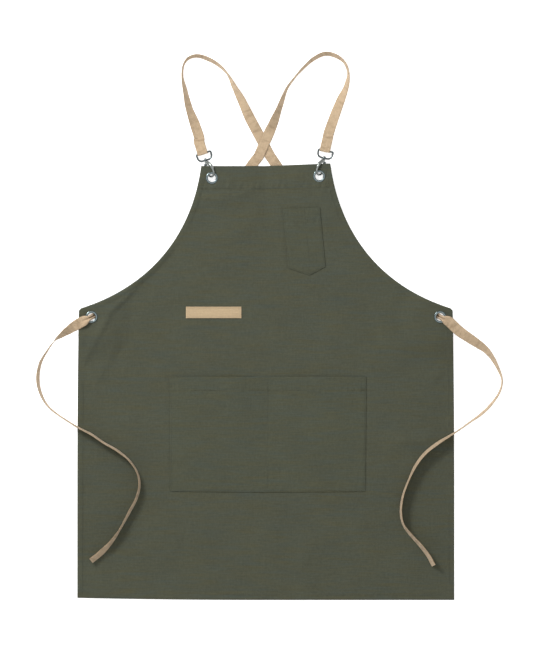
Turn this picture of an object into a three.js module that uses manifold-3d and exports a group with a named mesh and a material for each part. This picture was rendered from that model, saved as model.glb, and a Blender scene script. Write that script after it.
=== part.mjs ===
// Cross back apron lying flat on its back, in millimetres.
// +X runs to the right, +Y from the hem to the bib and +Z up from the surface.
import * as THREE from "three";
import { mergeVertices } from "three/addons/utils/BufferGeometryUtils.js";
import Module from "manifold-3d";

const wasm = await Module();
wasm.setup();

const { smoothstep, clamp, lerp, degToRad } = THREE.MathUtils;
const Point = THREE.Vector3;
const up = new Point(0, 0, 1);

// Panel
const apronLength = 829;
const bottomWidth = 720;
const waistWidth = 714;
const waistHeight = 556;
const bibWidth = 247;
const bibSlant = 5;
const bottomSlant = 4;
const armholeLean = degToRad(7.5);
const armholeFlare = degToRad(17);
const armholeTopPull = 0.45;
const armholeSidePull = 0.65;
const armholeSteps = 120;
const sideCurve = 4;
const clothThickness = 1.2;
const foldedThickness = 2;
const sideHem = 12;
const bottomHem = 12;
const bibHem = 44;
const hemStep = 2;
const clearance = 0.3;
const seamAllowance = 1;

// Eyelets
const eyeletHole = 14.6;
const eyeletWidth = 23.4;
const eyeletWall = 0.7;
const eyeletCrown = 0.8;
const leftBibInset = 20.4;
const rightBibInset = 21.6;
const bibEyeletDrop = 23;
const waistEyeletInset = 24;
const waistEyeletDrop = 15.5;
const eyeletSides = 16;
const turnedSides = 12;

// Pockets and patch
const waistPocket = { x: 4, bottom: 207.5, width: 376, height: 219, hem: 26, ease: 6.5, sag: 1.5 };
const chestPocket = { x: 67.8, drop: 80.5, width: 71, side: 114, point: 15, hem: 25, ease: 7 };
const chestPocketLean = degToRad(5.4);
const chestPocketTilt = degToRad(2.3);
const chestSeamShare = 0.58;
const chestPointShare = 0.55;
const patch = { x: -99.6, y: 549.2, width: 106, height: 22, thickness: 1.3 };
const pocketTaper = 0.99;
const pocketFullness = 4;
const pocketOpening = 3;
const waistPocketGrid = { columns: 16, rows: 8 };
const chestPocketGrid = { columns: 12, rows: 6 };
const flatMargin = 14;
const flatFade = 40;
const tapeMargin = 30;
const bibPlateau = 21;
const waistPlateau = 37;
const waistFade = 56;
const foldHeight = 2.6;

// Strap tape
const strapWidth = 20;
const strapThickness = 1.2;
const loopRise = 185.5;
const leftTieReach = 103;
const leftTieDrop = 466;
const rightTieReach = 119;
const rightTieDrop = 475;
const foldBack = 24;
const backDrop = 0.7;
const frontDrop = 0.6;
const pleats = 4;
const crossingAside = -3.6;
const crossingRise = 41;
const crossingReach = 25;
const tapeFall = 0.22;
const supportDirections = 12;
const gatherFold = degToRad(60);
const eyeletClimb = 10;
const passageHeading = degToRad(27);

// Clasps
const wireRadius = 1.6;
const loopHalfWidth = 14.1;
const loopDepth = 14.5;
const loopCorner = 2;
const loopRounding = 9;
const loopTaper = 0.4;
const leftStrapAside = -2.1;
const rightStrapAside = 2.1;
const postRadius = 1.5;
const bossRadius = 3.2;
const bossLength = 4;
const rivetRadius = 2.8;
const rivetHeight = 1.6;
const collarHeight = 1.5;
const neckRadius = 2.6;
const hookLength = 33;
const hookBow = 8;
const hookOffset = 4;
const hookTilt = degToRad(42);
const noseReach = 1.2;
const collarOverlap = 0.4;
const neckTurn = { aside: 0.3, rise: 0.8 };
const hookSeatAlong = 2.8;
const leftSeatAside = 0.8;
const rightSeatAside = 1.3;
const leftClaspLean = degToRad(16);
const rightClaspLean = degToRad(13);
const gateThickness = 3.2;
const gateWidth = 2.2;
const gatePivot = { aside: -2.2, along: 9 };
const gatePinRadius = 0.8;
const gatePinPlay = 0.3;
const earThickness = 1.2;
const earRadius = 2.2;
const thumbReach = 1.1;
const thumbTeeth = 3;
const toothShare = 0.6;
const toothSlope = 0.3;
const toothRoot = 0.6;
const gateHeel = { inner: 0.6, upper: 1.4, lower: 2, outer: 1.2, top: 2.6 };
const gateSlotPlay = 1.2;
const wireSides = 8;

const cloth = new THREE.MeshStandardMaterial({ color: 0x55584a, roughness: 0.92, metalness: 0 });
const tape = new THREE.MeshStandardMaterial({ color: 0xccb393, roughness: 0.85, metalness: 0 });
const steel = new THREE.MeshStandardMaterial({ color: 0x9a9fa3, roughness: 0.3, metalness: 1 });

const apron = new THREE.Group();

function addPiece(name, geometry, material, parent = apron) {
  const mesh = new THREE.Mesh(geometry, material.clone());
  mesh.name = name;
  parent.add(mesh);
  return mesh;
}

// Each ring has an even number of points, and a point faces the one counted back from the ring's end
function loft(rings, closed = false) {
  const count = rings[0].length;
  const faces = [];
  const spans = closed ? rings.length : rings.length - 1;
  for (let r = 0; r < spans; r++) {
    const a = r * count;
    const b = ((r + 1) % rings.length) * count;
    for (let i = 0; i < count; i++) {
      const j = (i + 1) % count;
      faces.push(a + i, a + j, b + j, a + i, b + j, b + i);
    }
  }
  if (!closed) {
    const last = (rings.length - 1) * count;
    for (let i = 0; i < count / 2 - 1; i++) {
      const j = count - 1 - i;
      faces.push(i, j, j - 1, i, j - 1, i + 1);
      faces.push(last + i, last + j - 1, last + j, last + i, last + i + 1, last + j - 1);
    }
  }
  const points = rings.flat();
  if (signedVolume(points, faces) < 0) faces.reverse();
  const geometry = new THREE.BufferGeometry().setFromPoints(points);
  geometry.setIndex(faces);
  return geometry;
}

function signedVolume(points, faces) {
  let volume = 0;
  for (let i = 0; i < faces.length; i += 3) {
    const [a, b, c] = [points[faces[i]], points[faces[i + 1]], points[faces[i + 2]]];
    volume += a.dot(b.clone().cross(c));
  }
  return volume;
}

function toSolid(geometry) {
  const bare = new THREE.BufferGeometry();
  bare.setAttribute("position", geometry.getAttribute("position"));
  bare.setIndex(geometry.index);
  const merged = mergeVertices(bare, 1e-4);
  const vertProperties = new Float32Array(merged.getAttribute("position").array);
  const triVerts = new Uint32Array(merged.index.array);
  return new wasm.Manifold(new wasm.Mesh({ numProp: 3, vertProperties, triVerts }));
}

function toGeometry(solid) {
  const mesh = solid.getMesh();
  const geometry = new THREE.BufferGeometry();
  geometry.setAttribute("position", new THREE.BufferAttribute(mesh.vertProperties, mesh.numProp));
  geometry.setIndex(new THREE.BufferAttribute(mesh.triVerts, 1));
  return geometry;
}

// A round wire through points of one plane whose normal is given, with one radius or one for each point
function wire(points, radii, normal, closed = false) {
  const rings = points.map((point, i) => {
    const radius = radii[i] ?? radii;
    const before = points[closed ? (i + points.length - 1) % points.length : Math.max(i - 1, 0)];
    const after = points[closed ? (i + 1) % points.length : Math.min(i + 1, points.length - 1)];
    const across = normal.clone().cross(after.clone().sub(before).normalize());
    const ring = [];
    for (let k = 0; k < wireSides; k++) {
      const turn = ((k + 0.5) / wireSides) * 2 * Math.PI;
      const aside = across.clone().multiplyScalar(radius * Math.cos(turn));
      ring.push(aside.addScaledVector(normal, radius * Math.sin(turn)).add(point));
    }
    return ring;
  });
  return loft(rings, closed);
}

function rod(radius, length, sides) {
  return new THREE.CylinderGeometry(radius, radius, length, sides);
}

// Panel outline
const armhole = new THREE.CubicBezierCurve(
  new THREE.Vector2(bibWidth / 2, apronLength),
  new THREE.Vector2(
    bibWidth / 2 + armholeTopPull * (apronLength - waistHeight) * Math.sin(armholeLean),
    apronLength - armholeTopPull * (apronLength - waistHeight) * Math.cos(armholeLean),
  ),
  new THREE.Vector2(
    waistWidth / 2 - armholeSidePull * ((waistWidth - bibWidth) / 2) * Math.cos(armholeFlare),
    waistHeight + armholeSidePull * ((waistWidth - bibWidth) / 2) * Math.sin(armholeFlare),
  ),
  new THREE.Vector2(waistWidth / 2, waistHeight),
);
const armholePoints = armhole.getPoints(armholeSteps);

function halfWidthAt(y) {
  const toWaist = Math.max(y / waistHeight, 0) ** sideCurve;
  if (y <= waistHeight) return lerp(bottomWidth, waistWidth, toWaist) / 2;
  const next = armholePoints.findIndex((point) => point.y <= y);
  if (next < 1) return bibWidth / 2;
  const [above, below] = [armholePoints[next - 1], armholePoints[next]];
  return lerp(below.x, above.x, (y - below.y) / (above.y - below.y));
}

// The right bib corner and the left bottom corner lie a little higher than square
function skew(x, y) {
  const toRight = clamp(x / (bibWidth / 2), 0, 1);
  const toTop = clamp((y - waistHeight) / (apronLength - waistHeight), 0, 1);
  const toLeft = clamp(-x / (bottomWidth / 2), 0, 1);
  const toBottom = clamp(1 - y / waistHeight, 0, 1);
  return bibSlant * toRight * toTop ** 2 + bottomSlant * toLeft ** 2 * toBottom;
}

function onPanel(x, y) {
  return new THREE.Vector2(x, y + skew(x, y));
}

// Heights that follow from what lies under the cloth
const eyeletRadius = eyeletWidth / 2;
const gateDepth = hookBow - hookOffset + gateWidth / 2 + thumbReach;
const claspHeight = Math.hypot(gateDepth, gateThickness / 2) + clearance;
const bibEyeletHeight = claspHeight + hookOffset * Math.sin(hookTilt);
const gatheredHalf = sectionHalf(1, 1);
const waistEyeletHeight = gatheredHalf + eyeletClimb * Math.sin(gatherFold);
const tapeSwell = strapThickness + 3 * clearance;

const bibEyeletAt = [
  onPanel(-(bibWidth / 2 - leftBibInset), apronLength - bibEyeletDrop),
  onPanel(bibWidth / 2 - rightBibInset, apronLength - bibEyeletDrop),
];
const waistEyeletAt = [-1, 1].map((side) =>
  onPanel(side * (waistWidth / 2 - waistEyeletInset), waistHeight - waistEyeletDrop),
);
const crossing = new THREE.Vector2(crossingAside, apronLength + crossingRise);

// The tape's way under the cloth from the crossing to the waist eyelet, and aside to the middle
const hidden = [
  { along: 0.1, inside: 0.026 },
  { along: 0.375, inside: 0.093 },
  { along: 0.651, inside: 0.107 },
  { along: 0.87, inside: 0.044 },
];

function hiddenPoints(eyelet) {
  const way = eyelet.clone().sub(crossing);
  const inside = new THREE.Vector2(-way.y, way.x).multiplyScalar(-Math.sign(eyelet.x));
  return hidden.map((row) => {
    const at = crossing.clone().addScaledVector(way, row.along);
    return at.addScaledVector(inside, row.inside);
  });
}

// Stretches of tape under the cloth, from the crossing to each waist eyelet
const hiddenTapes = waistEyeletAt.flatMap((eyelet) => {
  const points = [crossing, ...hiddenPoints(eyelet), eyelet];
  return points.slice(1).map((point, i) => [points[i], point]);
});

function distanceToLine(x, y, [from, to]) {
  const along = to.clone().sub(from);
  const share = clamp(((x - from.x) * along.x + (y - from.y) * along.y) / along.lengthSq(), 0, 1);
  return Math.hypot(x - from.x - share * along.x, y - from.y - share * along.y);
}

function fade(distance, flat, length) {
  return 1 - smoothstep(distance, flat, flat + length);
}

// Where the cloth is held flat by what is sewn on it: centre, half width, half height
const waistPocketMiddle = waistPocketAt(0.5, 0.5);
const chestPocketMiddle = chestPocketAt(0.5, 0.5);
const chestHalfWidth = (chestPocket.width + chestPocket.side * Math.sin(chestPocketLean)) / 2;
const chestHalfHeight = (chestPocket.side + chestPocket.point) / 2;
const sewnOn = [
  [waistPocketMiddle.x, waistPocketMiddle.y, waistPocket.width / 2, waistPocket.height / 2],
  [chestPocketMiddle.x, chestPocketMiddle.y, chestHalfWidth, chestHalfHeight],
  [patch.x, patch.y, patch.width / 2, patch.height / 2],
];

function distanceToBox(x, y, [cx, cy, halfX, halfY]) {
  return Math.hypot(Math.max(Math.abs(x - cx) - halfX, 0), Math.max(Math.abs(y - cy) - halfY, 0));
}

// Soft folds of the cloth: shares of the named sizes, and the direction in degrees
const folds = [
  { x: -0.41, y: 0.645, turn: 62, length: 0.19, width: 0.048, height: 1 },
  { x: -0.35, y: 0.6, turn: 58, length: 0.15, width: 0.045, height: 0.77 },
  { x: -0.135, y: 0.925, turn: 8, length: 0.11, width: 0.03, height: 0.62 },
  { x: -0.07, y: 0.865, turn: 28, length: 0.14, width: 0.04, height: 0.69 },
  { x: -0.255, y: 0.13, turn: 91, length: 0.24, width: 0.04, height: 0.69 },
  { x: 0.41, y: 0.36, turn: 4, length: 0.14, width: 0.035, height: 0.69 },
  { x: 0.36, y: 0.56, turn: 118, length: 0.16, width: 0.045, height: 0.77 },
  { x: 0.1, y: 0.07, turn: 80, length: 0.13, width: 0.045, height: 0.62 },
];

function foldRise(x, y) {
  let rise = 0;
  for (const fold of folds) {
    const turn = degToRad(fold.turn);
    const dx = x - fold.x * bottomWidth;
    const dy = y - fold.y * apronLength;
    const along = Math.abs(dx * Math.cos(turn) + dy * Math.sin(turn)) / (fold.length * apronLength);
    const across = Math.abs(dy * Math.cos(turn) - dx * Math.sin(turn)) / (fold.width * apronLength);
    rise += fold.height * foldHeight * fade(along, 0.2, 0.8) * fade(across, 0, 1);
  }
  return rise;
}

// Height of the cloth's underside over the surface
function clothRise(x, y) {
  const overTape = Math.min(...hiddenTapes.map((line) => distanceToLine(x, y, line)));
  const toSewn = sewnOn.map((box) => distanceToBox(x, y, box));
  const swell = tapeSwell * fade(overTape - strapWidth / 2, tapeMargin, flatFade);
  const atBib = Math.min(...bibEyeletAt.map((at) => Math.hypot(x - at.x, y - at.y)));
  const atWaist = Math.min(...waistEyeletAt.map((at) => Math.hypot(x - at.x, y - at.y)));
  const onBib = (bibEyeletHeight - foldedThickness / 2) * fade(atBib, bibPlateau, bibWidth / 2);
  const onWaist = (waistEyeletHeight - foldedThickness / 2) * fade(atWaist, waistPlateau, waistFade);
  const free = Math.min(
    ...toSewn.map((distance) => smoothstep(distance, flatMargin, flatMargin + flatFade)),
    smoothstep(atBib, bibPlateau, 2 * bibPlateau),
    smoothstep(atWaist, waistPlateau, 2 * waistPlateau),
  );
  return Math.max(swell, onBib, onWaist) + free * foldRise(x, y);
}

function clothThicknessAt(x, y) {
  const edge = halfWidthAt(y - skew(x, y)) - Math.abs(x);
  const flatY = y - skew(x, y);
  const hemEdge = Math.min(edge - sideHem, flatY - bottomHem, apronLength - bibHem - flatY);
  const isHem = hemEdge < -hemStep / 2;
  return isHem ? foldedThickness : clothThickness;
}

function clothTop(x, y) {
  return clothRise(x, y) + clothThicknessAt(x, y);
}

// Panel
const skirtRows = 12;
const armholeRows = 17;
const panelColumns = 18;
const patchColumns = 8;

function panelRows() {
  const rows = [0, bottomHem - hemStep, bottomHem];
  for (let i = 1; i <= skirtRows; i++) {
    rows.push(lerp(bottomHem, waistHeight - 4 * waistEyeletDrop, i / skirtRows));
  }
  for (let i = 1; i <= 4; i++) rows.push(waistHeight - (4 - i) * waistEyeletDrop);
  for (let i = 1; i <= armholeRows; i++) {
    const y = armhole.getPoint(1 - i / armholeRows).y;
    const hemLine = apronLength - bibHem;
    const previous = rows[rows.length - 1];
    if (previous < hemLine && y > hemLine) rows.push(hemLine, hemLine + hemStep);
    if (Math.abs(y - hemLine) > 2 * hemStep) rows.push(y);
  }
  return rows;
}

function panelColumnsAt(halfWidth) {
  const inner = halfWidth - sideHem;
  const columns = [-halfWidth, -inner - hemStep];
  for (let i = 0; i <= panelColumns; i++) columns.push(lerp(-inner, inner, i / panelColumns));
  columns.push(inner + hemStep, halfWidth);
  return columns;
}

function sheetRing(points, bottomAt, thicknessAt) {
  const topSide = points.map((at) => new Point(at.x, at.y, bottomAt(at.x, at.y) + thicknessAt(at.x, at.y)));
  const underSide = points.map((at) => new Point(at.x, at.y, bottomAt(at.x, at.y)));
  return [...topSide, ...underSide.reverse()];
}

function panelGeometry() {
  const rings = panelRows().map((y) => {
    const points = panelColumnsAt(halfWidthAt(y)).map((x) => onPanel(x, y));
    return sheetRing(points, clothRise, clothThicknessAt);
  });
  let solid = toSolid(loft(rings));
  const holeRadius = eyeletHole / 2 + eyeletWall + clearance;
  for (const at of [...bibEyeletAt, ...waistEyeletAt]) {
    const hole = rod(holeRadius, 6 * eyeletRadius, eyeletSides).rotateX(Math.PI / 2);
    solid = solid.subtract(toSolid(hole.translate(at.x, at.y, 0)));
  }
  return toGeometry(solid);
}

// Eyelet's flange: out as a share of the way from barrel to rim, up as a share of the crown
const eyeletFlange = [
  { out: -0.1, up: 0.7 },
  { out: 0.4, up: 1 },
  { out: 0.8, up: 0.8 },
];

// Eyelet: front flange, barrel and washer in one turned body
function eyeletGeometry() {
  const inner = eyeletHole / 2;
  const barrel = inner + eyeletWall;
  const seat = foldedThickness / 2 + clearance;
  const flange = eyeletFlange.map((row) => {
    return [lerp(barrel, eyeletRadius, row.out), seat + row.up * eyeletCrown];
  });
  const half = [[inner, 0], [inner, seat], ...flange, [eyeletRadius, seat], [barrel, seat]];
  const under = half.slice(1).map(([r, z]) => [r, -z]);
  const outline = [...half, ...under.reverse()];
  const profile = outline.map(([r, z]) => new THREE.Vector2(r, z));
  profile.push(profile[0].clone());
  return new THREE.LatheGeometry(profile.reverse(), eyeletSides).rotateX(Math.PI / 2);
}

function closedLathe(geometry) {
  const bare = new THREE.BufferGeometry();
  bare.setAttribute("position", geometry.getAttribute("position"));
  bare.setIndex(geometry.index);
  const merged = mergeVertices(bare, 1e-4);
  const position = merged.getAttribute("position");
  const points = [];
  for (let i = 0; i < position.count; i++) points.push(new Point().fromBufferAttribute(position, i));
  const faces = [...merged.index.array];
  if (signedVolume(points, faces) < 0) faces.reverse();
  merged.setIndex(faces);
  return merged;
}

// Pocket front: columns from one sewn side to the other, each from the sewn bottom to the open mouth
function pocketGeometry(pocket, seamShares, placeAt, { columns, rows }) {
  const rings = [];
  for (let c = 0; c <= columns; c++) {
    const across = c / columns;
    const start = seamShares.filter((share) => share <= across + 1e-6).pop();
    const end = seamShares.find((share) => share > across + 1e-6) ?? 1;
    const inSpan = end > start ? (across - start) / (end - start) : 0;
    const crossEase = 1 - Math.abs(2 * inSpan - 1) ** pocketFullness;
    const points = [];
    for (let r = 0; r <= rows; r++) {
      const rise = r / rows;
      const at = placeAt(across, rise);
      const lift = pocket.ease * crossEase * (1 - (1 - rise) ** pocketOpening);
      const isHem = (1 - rise) * pocketHeight(pocket) < pocket.hem + seamAllowance;
      points.push({ at, lift, thickness: isHem ? foldedThickness : clothThickness });
    }
    const under = points.map(({ at, lift }) => {
      return new Point(at.x, at.y, clothTop(at.x, at.y) + clearance + lift);
    });
    const over = under.map((point, i) => point.clone().setZ(point.z + points[i].thickness));
    rings.push([...over, ...under.reverse()]);
  }
  return loft(rings);
}

function pocketHeight(pocket) {
  return pocket.height ?? pocket.side;
}

function waistPocketAt(across, rise) {
  const x = waistPocket.x + (across - 0.5) * waistPocket.width * lerp(pocketTaper, 1, rise);
  const sag = waistPocket.sag * (1 - (2 * across - 1) ** 2) * (1 - rise);
  return new THREE.Vector2(x, waistPocket.bottom + rise * waistPocket.height - sag);
}

function chestPocketAt(across, rise) {
  const mouth = new THREE.Vector2(chestPocket.x, apronLength - chestPocket.drop);
  const toPoint = across < chestPointShare ? across / chestPointShare : (1 - across) / (1 - chestPointShare);
  const height = chestPocket.side + chestPocket.point * toPoint;
  const aside = (across - 0.5) * chestPocket.width;
  const down = (1 - rise) * height;
  const x = mouth.x + aside * Math.cos(chestPocketTilt) + down * Math.sin(chestPocketLean);
  const y = mouth.y + aside * Math.sin(chestPocketTilt) - down * Math.cos(chestPocketLean);
  return new THREE.Vector2(x, y);
}

// Piece of tape sewn flat on the cloth
function patchGeometry() {
  const rings = [];
  for (let c = 0; c <= patchColumns; c++) {
    const x = patch.x + (c / patchColumns - 0.5) * patch.width;
    const points = [0.5, 0, -0.5].map((share) => new THREE.Vector2(x, patch.y + share * patch.height));
    rings.push(sheetRing(points, (px, py) => clothTop(px, py) + clearance, () => patch.thickness));
  }
  return loft(rings);
}

// Tape section: flat share 1 lies flat and 0 stands on edge; gather folds it into four narrow pleats
function gatherAngle(gather) {
  return gather * gatherFold;
}

function sectionHalf(flat, gather) {
  const fold = gatherAngle(gather);
  const flatHalf = ((strapWidth / pleats) * Math.sin(fold)) / 2 + strapThickness / 2 / Math.cos(fold);
  const edgeHalf = strapWidth / 2;
  return flat * flatHalf + Math.sqrt(1 - flat * flat) * edgeHalf;
}

function tapeRing({ centre, lateral, normal, gather = 0 }) {
  const fold = gatherAngle(gather);
  const topSide = [];
  const underSide = [];
  for (let i = 0; i <= pleats; i++) {
    const aside = (i - pleats / 2) * (strapWidth / pleats) * Math.cos(fold);
    const pleat = ((i % 2 ? 1 : -1) * (strapWidth / pleats) * Math.sin(fold)) / 2;
    const half = strapThickness / 2 / Math.cos(fold);
    const at = centre.clone().addScaledVector(lateral, aside);
    topSide.push(at.clone().addScaledVector(normal, pleat + half));
    underSide.push(at.clone().addScaledVector(normal, pleat - half));
  }
  return [...topSide, ...underSide.reverse()];
}

// Stations between hand-set rows, whose z is the height of the tape's lowest line, turned by their flat share
function tapeStations(rows, steps, turn) {
  const curve = new THREE.CatmullRomCurve3(
    rows.map((row) => new Point(row.x, row.y, row.z)),
    false,
    "centripetal",
  );
  const stations = [];
  const spans = rows.length - 1;
  for (let i = 0; i <= spans * steps; i++) {
    const share = i / (spans * steps);
    const row = Math.min(Math.floor(share * spans), spans - 1);
    const part = share * spans - row;
    const mix = (key, fallback) => lerp(rows[row][key] ?? fallback, rows[row + 1][key] ?? fallback, part);
    const tangent = curve.getTangent(share);
    const level = up.clone().cross(tangent).normalize();
    const roll = Math.acos(clamp(mix("flat", 1), 0, 1)) * turn;
    const lateral = level.applyAxisAngle(tangent, roll);
    const normal = tangent.clone().cross(lateral).normalize();
    const gather = mix("gather", 0);
    const centre = curve.getPoint(share);
    centre.z = Math.max(centre.z, 0) + sectionHalf(Math.cos(roll), gather);
    stations.push({ centre, lateral, normal, gather });
  }
  return stations;
}

// A tape that is held up at one place falls away from it no faster than its stiffness lets it
function letFall(rows) {
  const distance = (a, b) => Math.hypot(a.x - b.x, a.y - b.y);
  const raised = rows.map((row) =>
    Math.max(row.z, ...rows.map((other) => other.z - tapeFall * distance(row, other))),
  );
  rows.forEach((row, i) => {
    if (!row.fixed) row.z = raised[i];
  });
  return rows;
}

function supportAt(x, y) {
  let support = 0;
  for (let i = 0; i < supportDirections; i++) {
    const turn = (i / supportDirections) * 2 * Math.PI;
    for (const reach of [0, strapWidth / 2, strapWidth]) {
      const px = x + reach * Math.cos(turn);
      const py = y + reach * Math.sin(turn);
      const flatY = py - skew(px, py);
      const inside = flatY > 0 && flatY < apronLength && Math.abs(px) < halfWidthAt(flatY);
      if (inside) support = Math.max(support, clothTop(px, py) + clearance);
    }
  }
  return support;
}

// Routes of the tapes: shares of the way from the clasp to the crossing, and of the loop's rise
const loops = {
  left: [
    { across: -0.069, rise: 0.144, flat: 1 },
    { across: -0.143, rise: 0.297, flat: 0.95 },
    { across: -0.24, rise: 0.467, flat: 0.66 },
    { across: -0.305, rise: 0.65, flat: 0.42 },
    { across: -0.348, rise: 0.79, flat: 0.16 },
    { across: -0.325, rise: 0.915, flat: 0.14 },
    { across: -0.24, rise: 0.978, flat: 0.28 },
    { across: -0.1, rise: 1, flat: 0.34 },
    { across: 0.085, rise: 0.965, flat: 0.38 },
    { across: 0.26, rise: 0.9, flat: 0.3 },
    { across: 0.4, rise: 0.81, flat: 0.16 },
    { across: 0.51, rise: 0.682, flat: 0.48 },
    { across: 0.62, rise: 0.554, flat: 0.76 },
    { across: 0.763, rise: 0.364, flat: 0.97 },
  ],
  right: [
    { across: -0.045, rise: 0.179, flat: 1 },
    { across: -0.15, rise: 0.374, flat: 0.92 },
    { across: -0.236, rise: 0.517, flat: 0.8 },
    { across: -0.332, rise: 0.67, flat: 0.46 },
    { across: -0.36, rise: 0.803, flat: 0.2 },
    { across: -0.301, rise: 0.906, flat: 0.24 },
    { across: -0.179, rise: 0.97, flat: 0.38 },
    { across: 0.003, rise: 0.999, flat: 0.4 },
    { across: 0.188, rise: 0.95, flat: 0.36 },
    { across: 0.346, rise: 0.865, flat: 0.26 },
    { across: 0.498, rise: 0.757, flat: 0.15 },
    { across: 0.63, rise: 0.64, flat: 0.24 },
    { across: 0.742, rise: 0.455, flat: 0.52 },
    { across: 0.842, rise: 0.292, flat: 0.86 },
  ],
};

// Shares of the tie's reach outwards and of its drop down to its end
const ties = {
  left: {
    reach: leftTieReach,
    drop: leftTieDrop,
    rows: [
      { out: 0.285, down: 0.034, flat: 0.97 },
      { out: 0.44, down: 0.057, flat: 0.76 },
      { out: 0.57, down: 0.078, flat: 0.46 },
      { out: 0.69, down: 0.1, flat: 0.06 },
      { out: 0.828, down: 0.141, flat: 0.13 },
      { out: 0.945, down: 0.188, flat: 0.26 },
      { out: 0.994, down: 0.25, flat: 0.33 },
      { out: 0.948, down: 0.309, flat: 0.26 },
      { out: 0.8, down: 0.367, flat: 0.15 },
      { out: 0.513, down: 0.416, flat: 0.1 },
      { out: 0.237, down: 0.454, flat: 0.14 },
      { out: 0.004, down: 0.481, flat: 0.18 },
      { out: -0.23, down: 0.516, flat: 0.18 },
      { out: -0.485, down: 0.549, flat: 0.19 },
      { out: -0.7, down: 0.588, flat: 0.14 },
      { out: -0.85, down: 0.638, flat: 0.14 },
      { out: -0.89, down: 0.69, flat: 0.18 },
      { out: -0.83, down: 0.745, flat: 0.22 },
      { out: -0.7, down: 0.8, flat: 0.24 },
      { out: -0.54, down: 0.866, flat: 0.13 },
      { out: -0.39, down: 0.916, flat: 0.31 },
      { out: -0.2, down: 0.962, flat: 0.52 },
      { out: 0.009, down: 1, flat: 0.5 },
    ],
  },
  right: {
    reach: rightTieReach,
    drop: rightTieDrop,
    rows: [
      { out: 0.309, down: 0.057, flat: 1 },
      { out: 0.486, down: 0.088, flat: 0.9 },
      { out: 0.633, down: 0.113, flat: 0.78 },
      { out: 0.735, down: 0.133, flat: 0.62 },
      { out: 0.831, down: 0.162, flat: 0.45 },
      { out: 0.937, down: 0.211, flat: 0.27 },
      { out: 0.995, down: 0.256, flat: 0.12 },
      { out: 0.955, down: 0.3, flat: 0.17 },
      { out: 0.802, down: 0.356, flat: 0.25 },
      { out: 0.65, down: 0.392, flat: 0.24 },
      { out: 0.465, down: 0.425, flat: 0.13 },
      { out: 0.249, down: 0.463, flat: 0.12 },
      { out: -0.053, down: 0.51, flat: 0.3 },
      { out: -0.249, down: 0.55, flat: 0.27 },
      { out: -0.399, down: 0.6, flat: 0.24 },
      { out: -0.511, down: 0.66, flat: 0.13 },
      { out: -0.6, down: 0.721, flat: 0.17 },
      { out: -0.63, down: 0.785, flat: 0.19 },
      { out: -0.59, down: 0.835, flat: 0.17 },
      { out: -0.471, down: 0.876, flat: 0.26 },
      { out: -0.326, down: 0.916, flat: 0.32 },
      { out: -0.19, down: 0.96, flat: 0.36 },
      { out: -0.103, down: 1, flat: 0.38 },
    ],
  },
};

// The tape's way through a waist eyelet: along in eyelet radii, climb as a share of the eyelet's height
const passage = [
  { along: -3.2, gather: 0.1 },
  { along: -1.7, gather: 0.7 },
  { along: -0.85, climb: -0.98, gather: 0.95 },
  { along: -0.42, climb: -0.74, gather: 1 },
  { along: -0.13, climb: -0.3, gather: 1 },
  { along: 0.13, climb: 0.3, gather: 1 },
  { along: 0.42, climb: 0.74, gather: 1 },
  { along: 0.9, climb: 0.92, gather: 0.62 },
  { along: 1.6, climb: 0.8, gather: 0.12 },
];

// A clasp's place: its swivel point and the way that its length runs
function claspAt(side) {
  const lean = side < 0 ? leftClaspLean : rightClaspLean;
  const seatAside = side < 0 ? leftSeatAside : rightSeatAside;
  const eyelet = bibEyeletAt[side < 0 ? 0 : 1];
  const aside = new THREE.Vector2(-side * Math.cos(lean), Math.sin(lean));
  const along = new THREE.Vector2(side * Math.sin(lean), Math.cos(lean));
  const swivel = eyelet
    .clone()
    .addScaledVector(along, hookSeatAlong + hookLength)
    .addScaledVector(aside, seatAside - hookOffset * Math.cos(hookTilt));
  return { side, lean, along, aside, swivel };
}
const clasps = [claspAt(-1), claspAt(1)];

// Each strap runs from its clasp over the crossing and out at the waist eyelet of the other side
const straps = {
  left: {
    loop: loops.left,
    clasp: clasps[0],
    aside: leftStrapAside,
    eyelet: waistEyeletAt[1],
    tie: ties.right,
    isOnTop: false,
  },
  right: {
    loop: loops.right,
    clasp: clasps[1],
    aside: rightStrapAside,
    eyelet: waistEyeletAt[0],
    tie: ties.left,
    isOnTop: true,
  },
};

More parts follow.
